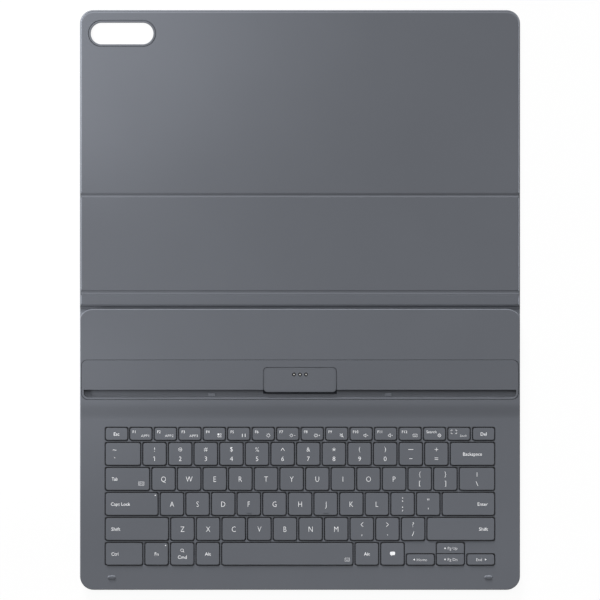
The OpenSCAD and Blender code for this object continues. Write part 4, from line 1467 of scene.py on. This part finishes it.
def signBubble(at):
    # filled speech bubble with its tail
    addPlate(at, evenOutline((-1.9, 1.9, -0.9, 1.7), 0.8, 0, 5))
    addPlate(at, [(-0.9, -0.7), (-0.8, -1.6), (0.2, -0.7)])


def signArrow(at, dx, dy):
    # solid triangle that points along (dx, dy)
    addPlate(at, [(0.8 * dx, 0.8 * dy), (-0.48 * dx - 0.72 * dy, -0.48 * dy + 0.72 * dx),
                  (-0.48 * dx + 0.72 * dy, -0.48 * dy - 0.72 * dx)])


# lines that a symbol is drawn with
lineSymbols = {
    "^": [[(-1.3, -0.9), (0, 1.1), (1.3, -0.9)]],
    "_": [[(-1.9, 0), (1.9, 0)]],
    "-": [[(-1.2, 0), (1.2, 0)]],
    "<": [[(0.9, 1.5), (-0.8, 0), (0.9, -1.5)]],
    ">": [[(-0.9, 1.5), (0.8, 0), (-0.9, -1.5)]],
    "|": [[(0, 1.6), (0, -1.6)]],
    "\\": [[(-0.7, 1.7), (0.7, -1.7)]],
    "/": [[(0.7, 1.7), (-0.7, -1.7)]],
    "=": [[(-1.3, -0.6), (1.3, -0.6)], [(-1.3, 0.6), (1.3, 0.6)]],
    "+": [[(-1.3, 0), (1.3, 0)], [(0, -1.3), (0, 1.3)]],
    "*": [[(0, 0), (1.4 * math.sin(a), 1.4 * math.cos(a))] for a in (0.4 * math.pi * i for i in range(5))],
}
# (radius of the dots, their heights, tail of the last) of the point symbols
dotSymbols = {
    ":": (0.4, (1.15, -1.15), None),
    ";": (0.4, (1.15, -1.15), [(0.1, -1.3), (-0.35, -2.1)]),
    ".": (0.3, (0,), None),
    ",": (0.3, (0,), [(0.1, -0.1), (-0.35, -0.9)]),
}
# the same share for those that differ
textShares = {"'": 1.2, '"': 1.2, "~": 1.1, "`": 1.2, "?": 1.1}


def addSymbol(at, sign):
    if sign in lineSymbols:
        for points in lineSymbols[sign]:
            addLine(at, points, legend["symbolStroke"])
    elif sign in dotSymbols:
        radius, heights, tail = dotSymbols[sign]
        for dy in heights:
            addDot(moved(at, 0, dy), radius)
        if tail:
            addLine(at, tail, 0.3)
    elif sign == "@":
        addHoop(at, 1.3, 0.2)
        addHoop(at, 0.5, 0.2, 12)
        addLine(at, [(0.5, 0.4), (0.6, -0.4), (1.1, -0.5)], 0.2)
    elif sign.isdigit():
        addText(at, sign, "digit")
        if sign == "1":    # a longer flag
            addLine(at, [(-0.95, 0.9), (0, 1.6)], 0.32)
    else:
        addText(at, sign, "digit", share=textShares.get(sign, legend["symbolShare"]), middle=True)


stacked = {
    "number_keys": list(zip("!@#$%^&*()_+", "1234567890-=")),
    "upper_letter_keys": [*"QWERTYUIOP", "{[", "}]"],
    "home_letter_keys": [*"ASDFGHJKL", ":;", "\"'"],
    "lower_letter_keys": [*"ZXCVBNM", "<,", ">.", "?/"],
    "backslash_key": ["|\\"],
}
# what stands at the right of a function key, how far from its edge, and its own values
functionSigns = [
    *[("APP%d" % k, 2.0, "application", 1, 1.1) for k in (1, 2, 3)],
    (signGrid, 4.1), (signBars, 4.3), (signSun, 4.2),
    (signSun, 5.3, 0.8, "-"), (signSun, 5.2, 0.95, "+"),
    (signSpeaker, 4.1), (signSpeaker, 4.7, "-"), (signSpeaker, 4.7, "+"),
    (signKeyboard, 4.3, 3.4, 2.2), (signGear, 4.4), ("Dock", 2.3, "dock", 1, 0.95),
]
# text, kind, stretch, edge (0 left, 0.5 the middle, 1 right), distance from it, height
keyWords = {
    "esc_key": ("Esc", "word", 0.95, 0.5, 0, 0),
    "del_key": ("Del", "word", 0.95, 0.5, 0, 0),
    "backspace_key": ("Backspace", "word", 0.98, 0.5, 0, 0),
    "tab_key": ("Tab", "word", 0.82, 0, 4.5, 0),
    "caps_lock_key": ("Caps Lock", "word", 0.95, 0, 3.8, 0),
    "enter_key": ("Enter", "word", 1.0, 1, -4.75, 0),
    "shift_key_left": ("Shift", "word", 1.08, 0, 4.15, 0),
    "shift_key_right": ("Shift", "word", 1.08, 1, -4.7, 0),
    "ctrl_key": ("Ctrl", "word", 0.95, 0, 4.15, 0),
    "fn_key": ("Fn", "word", 0.95, 0.5, 0, 0),
    "cmd_key": ("Cmd", "command", 0.95, 0.5, 0, -2.3),
    "alt_key_left": ("Alt", "word", 1.02, 0.5, 0, 0),
    "alt_key_right": ("Alt", "word", 1.02, 0.5, 0, 0),
    "home_key": ("Home", "arrow", 1.05, 0.5, 1.1, 0),
    "page_up_key": ("Pg Up", "arrow", 1.05, 0.5, 1.6, 0),
    "page_down_key": ("Pg Dn", "arrow", 1.05, 0.5, 1.6, 0),
    "end_key": ("End", "arrow", 1.05, 0.5, -1.3, 0),
}
# sign, edge and distance across, edge (0 front) and distance along, the sign's own values
keySigns = {
    "backquote_key": [(addSymbol, 0, 6.6, 0.5, 2.9, "~"), (addSymbol, 0, 6.6, 0.5, -2.9, "`")],
    "tab_key": [(signPanes, 1, -5.9, 0, 4.7)],
    "space_key": [(signKeyboard, 1, -3.9, 0, 3.8)],
    "cmd_key": [(signLens, 0.5, 0, 0.5, 2.5)],
    "assistant_key": [(signBubble, 0.5, 0, 0.5, 0)],
    "home_key": [(signArrow, 0.5, -4.7, 0.5, 0, -1, 0)],
    "page_up_key": [(signArrow, 0.5, -4.0, 0.5, 0, 0, 1)],
    "page_down_key": [(signArrow, 0.5, -4.0, 0.5, 0, 0, -1)],
    "end_key": [(signArrow, 0.5, 3.6, 0.5, 0, 1, 0)],
}


def functionLegends(at, k, half):
    if k < 13:
        dx, dy = legend["functionName"]
        addText(moved(at, dx - half, dy), "F%d" % (k + 1) if k < 12 else "Search", "function", 0)
    else:
        dx, dy = legend["functionCorners"]
        signCorners(moved(at, dx - half, dy))
    sign, away, *values = functionSigns[k]
    if isinstance(sign, str):
        addText(moved(at, half - away, legend["functionWord"]), sign, *values)
    else:
        sign(moved(at, half - away, legend["functionSign"]), *values)


def capLegends(at, pair):
    if len(pair) == 1:
        addText(at, pair, "letter", stretch=legend["letterStretch"])
        return
    upper, lower = pair
    addSymbol(moved(at, 0, legend["upper"]), upper)
    addSymbol(moved(at, 0, legend["lowest"] if lower in ".," else legend["lower"]), lower)


def makeLegends(node):
    bm = bmesh.new()
    z = heightsOf(node)[1] + (legend["thickness"] / 2 - legend["sink"]) * mm
    for k, rect in enumerate(keyRects[node]):
        at = (bm, *middleOf(rect), z)
        w, h = (rect[1] - rect[0]) / 2 / mm, (rect[3] - rect[2]) / 2 / mm
        if node in stacked:
            capLegends(at, stacked[node][k])
        elif node == "function_keys":
            functionLegends(at, k, w)
        if node in keyWords:
            words, style, stretch, edge, dx, dy = keyWords[node]
            addText(moved(at, (2 * edge - 1) * w + dx, dy), words, style, edge, stretch)
        for sign, edgeX, dx, edgeY, dy, *values in keySigns.get(node, ()):
            sign(moved(at, (2 * edgeX - 1) * w + dx, (2 * edgeY - 1) * h + dy), *values)
    place(finishMesh(node + "Legends", bm, "ink", legend["smooth"]), keyBodies[node], "keycap_plastic")


for nodeName in keyRects:
    makeLegends(nodeName)
for mesh in textMeshes.values():
    bpy.data.meshes.remove(mesh)


# homing bars and indicator windows

homingBar = {
    "keys": "FJ",
    "width": 3.7 * mm,
    "depth": 0.7 * mm,
    "flat": 0.02 * mm,           # straight part of its ends
    "edge": 0.2 * mm,
    "proud": 0.22 * mm,
    "foot": 0.3 * mm,
    "fromFront": 1.8 * mm,
}
lampWindow = {
    "radius": 0.4 * mm,
    "proud": 0.05 * mm,
    "foot": 0.2 * mm,
    "side": 1.75 * mm,
    "crown": (0, 25, 50, 75),    # degrees of the rings up its crown
    "facets": 20,
}


def makeHomingBars():
    high = heightsOf("home_letter_keys")[1]
    w, d = homingBar["width"] / 2, homingBar["depth"] / 2
    bm = bmesh.new()
    for rect, words in zip(keyRects["home_letter_keys"], stacked["home_letter_keys"]):
        if words in homingBar["keys"]:
            cx, cy = middleOf(rect)[0], rect[2] + homingBar["fromFront"]
            bar = (cx - w, cx + w, cy - d, cy + d)
            slab(bm, lambda i: evenOutline(bar, d - homingBar["flat"], i),
                 high - homingBar["foot"], high + homingBar["proud"], homingBar["edge"])
    bars = finishMesh("homingBars", bm, "keycap")
    place(bars, keyBodies["home_letter_keys"], "keycap_plastic")


def makeLamp(node):
    # small indicator window near the cap's far right corner
    rect = keyRects[node][0]
    high = heightsOf(node)[1]
    r, side = lampWindow["radius"], lampWindow["side"]
    profile = [(r, high - lampWindow["foot"])]
    for a in map(math.radians, lampWindow["crown"]):
        profile.append((r * math.cos(a), high + lampWindow["proud"] * math.sin(a)))
    bm = bmesh.new()
    addTurned(bm, rect[1] - side, rect[3] - side, profile, lampWindow["facets"])
    place(finishMesh(node + "Lamp", bm, "lamp"), keyBodies[node], "keycap_plastic")


makeHomingBars()
makeLamp("caps_lock_key")
makeLamp("fn_key")
print("legends made")


# floor, light and camera

studio = {
    "floorSize": 8.0,
    "floorDrop": 0.2 * mm,
    "floorColour": (0.93, 0.93, 0.93, 1),
    "floorGlow": 0.94,           # share of the floor that shows as plain white
    "skyLevel": 0.28,
    "round": 14.0,               # degrees of the rear lights round to the left
    # (share of the light on a level surface, degrees above the floor, softness in degrees)
    "rearLights": {"rearLow": (0.42, 12.0, 20.0), "rearHigh": (0.30, 50.0, 30.0)},
    # (power, place, aim, cone in degrees) of the pools over the cover and from the left
    "pools": {
        "coverPool": (24.6, (-0.602, 0.223, 0.572), (-0.239, 0.234, 0.0), 38.7),
        "sidePool": (58.0, (-1.114, -0.278, 0.398), (-0.220, -0.062, 0.0), 10.2),
    },
    "poolRadius": 0.06,
    "lens": 300.0,
    "sensor": 36.0,
    "clip": 20.0,
    "viewWidth": 0.44695,
    "viewCentre": (0, -0.00008, 0.0035),
}


def seenShare(tree):
    # 1 for rays from the camera, off gloss and through glass
    rays = addNode(tree, "ShaderNodeLightPath").outputs
    seen = mathNode(tree, "MAXIMUM", rays["Is Camera Ray"], rays["Is Glossy Ray"])
    return mathNode(tree, "MAXIMUM", seen, rays["Is Transmission Ray"])


def makeFloor():
    half = studio["floorSize"] / 2
    mesh = bpy.data.meshes.new("floor")
    square = ((-half, -half), (half, -half), (half, half), (-half, half))
    mesh.from_pydata([(x, y, -studio["floorDrop"]) for x, y in square], [], [(0, 1, 2, 3)])
    material = bpy.data.materials.new("paperFloor")
    material.use_nodes = True
    tree = material.node_tree
    tree.nodes.clear()
    matte = addNode(tree, "ShaderNodeBsdfDiffuse", None, Color=studio["floorColour"])
    glow = addNode(tree, "ShaderNodeEmission", None, Strength=1.0)
    mix = addNode(tree, "ShaderNodeMixShader")
    share = mathNode(tree, "MULTIPLY", seenShare(tree), studio["floorGlow"])
    for socket, value in zip(mix.inputs, (share, matte.outputs["BSDF"], glow.outputs["Emission"])):
        feed(tree, value, socket)
    addNode(tree, "ShaderNodeOutputMaterial", None, Surface=mix.outputs["Shader"])
    mesh.materials.append(material)
    addObject("floor", mesh)


def addLamp(name, kind, power, place, aim):
    light = bpy.data.lights.new(name, kind)
    light.energy = power
    lamp = addObject(name, light)
    lamp.location = place
    lamp.rotation_euler = (Vector(aim) - lamp.location).to_track_quat("-Z", "Y").to_euler()
    lamp.visible_glossy = False    # light without a glare of its own
    return light


def makeLight():
    world = bpy.data.worlds.new("studioSky")
    bpy.context.scene.world = world
    world.use_nodes = True
    tree, sky = world.node_tree, studio["skyLevel"]
    level = mathNode(tree, "ADD", mathNode(tree, "MULTIPLY", seenShare(tree), 1.0 - sky), sky)
    feedNode(tree, tree.nodes["Background"], Strength=level, Color=(1, 1, 1, 1))
    side = math.radians(studio["round"])
    for name, (share, degrees, softness) in studio["rearLights"].items():
        height = math.radians(degrees)
        away = (-math.sin(side) * math.cos(height), math.cos(side) * math.cos(height), math.sin(height))
        sun = addLamp(name, "SUN", share * math.pi / math.sin(height), Vector(away) * 3, (0, 0, 0))
        sun.angle = math.radians(softness)
    for name, (power, lampPlace, aim, cone) in studio["pools"].items():
        pool = addLamp(name, "SPOT", power, lampPlace, aim)
        pool.spot_size = math.radians(cone)
        pool.spot_blend = 1.0
        pool.shadow_soft_size = studio["poolRadius"]


def makeCamera():
    camera = bpy.data.cameras.new("camera")
    camera.lens = studio["lens"]
    camera.sensor_width = studio["sensor"]
    camera.clip_end = studio["clip"]
    x, y, z = studio["viewCentre"]
    obj = addObject("camera", camera)
    obj.location = (x, y, z + studio["viewWidth"] * studio["lens"] / studio["sensor"])
    bpy.context.scene.camera = obj


makeFloor()
makeLight()
makeCamera()
bpy.context.scene.view_settings.view_transform = "Standard"
print("studio made")
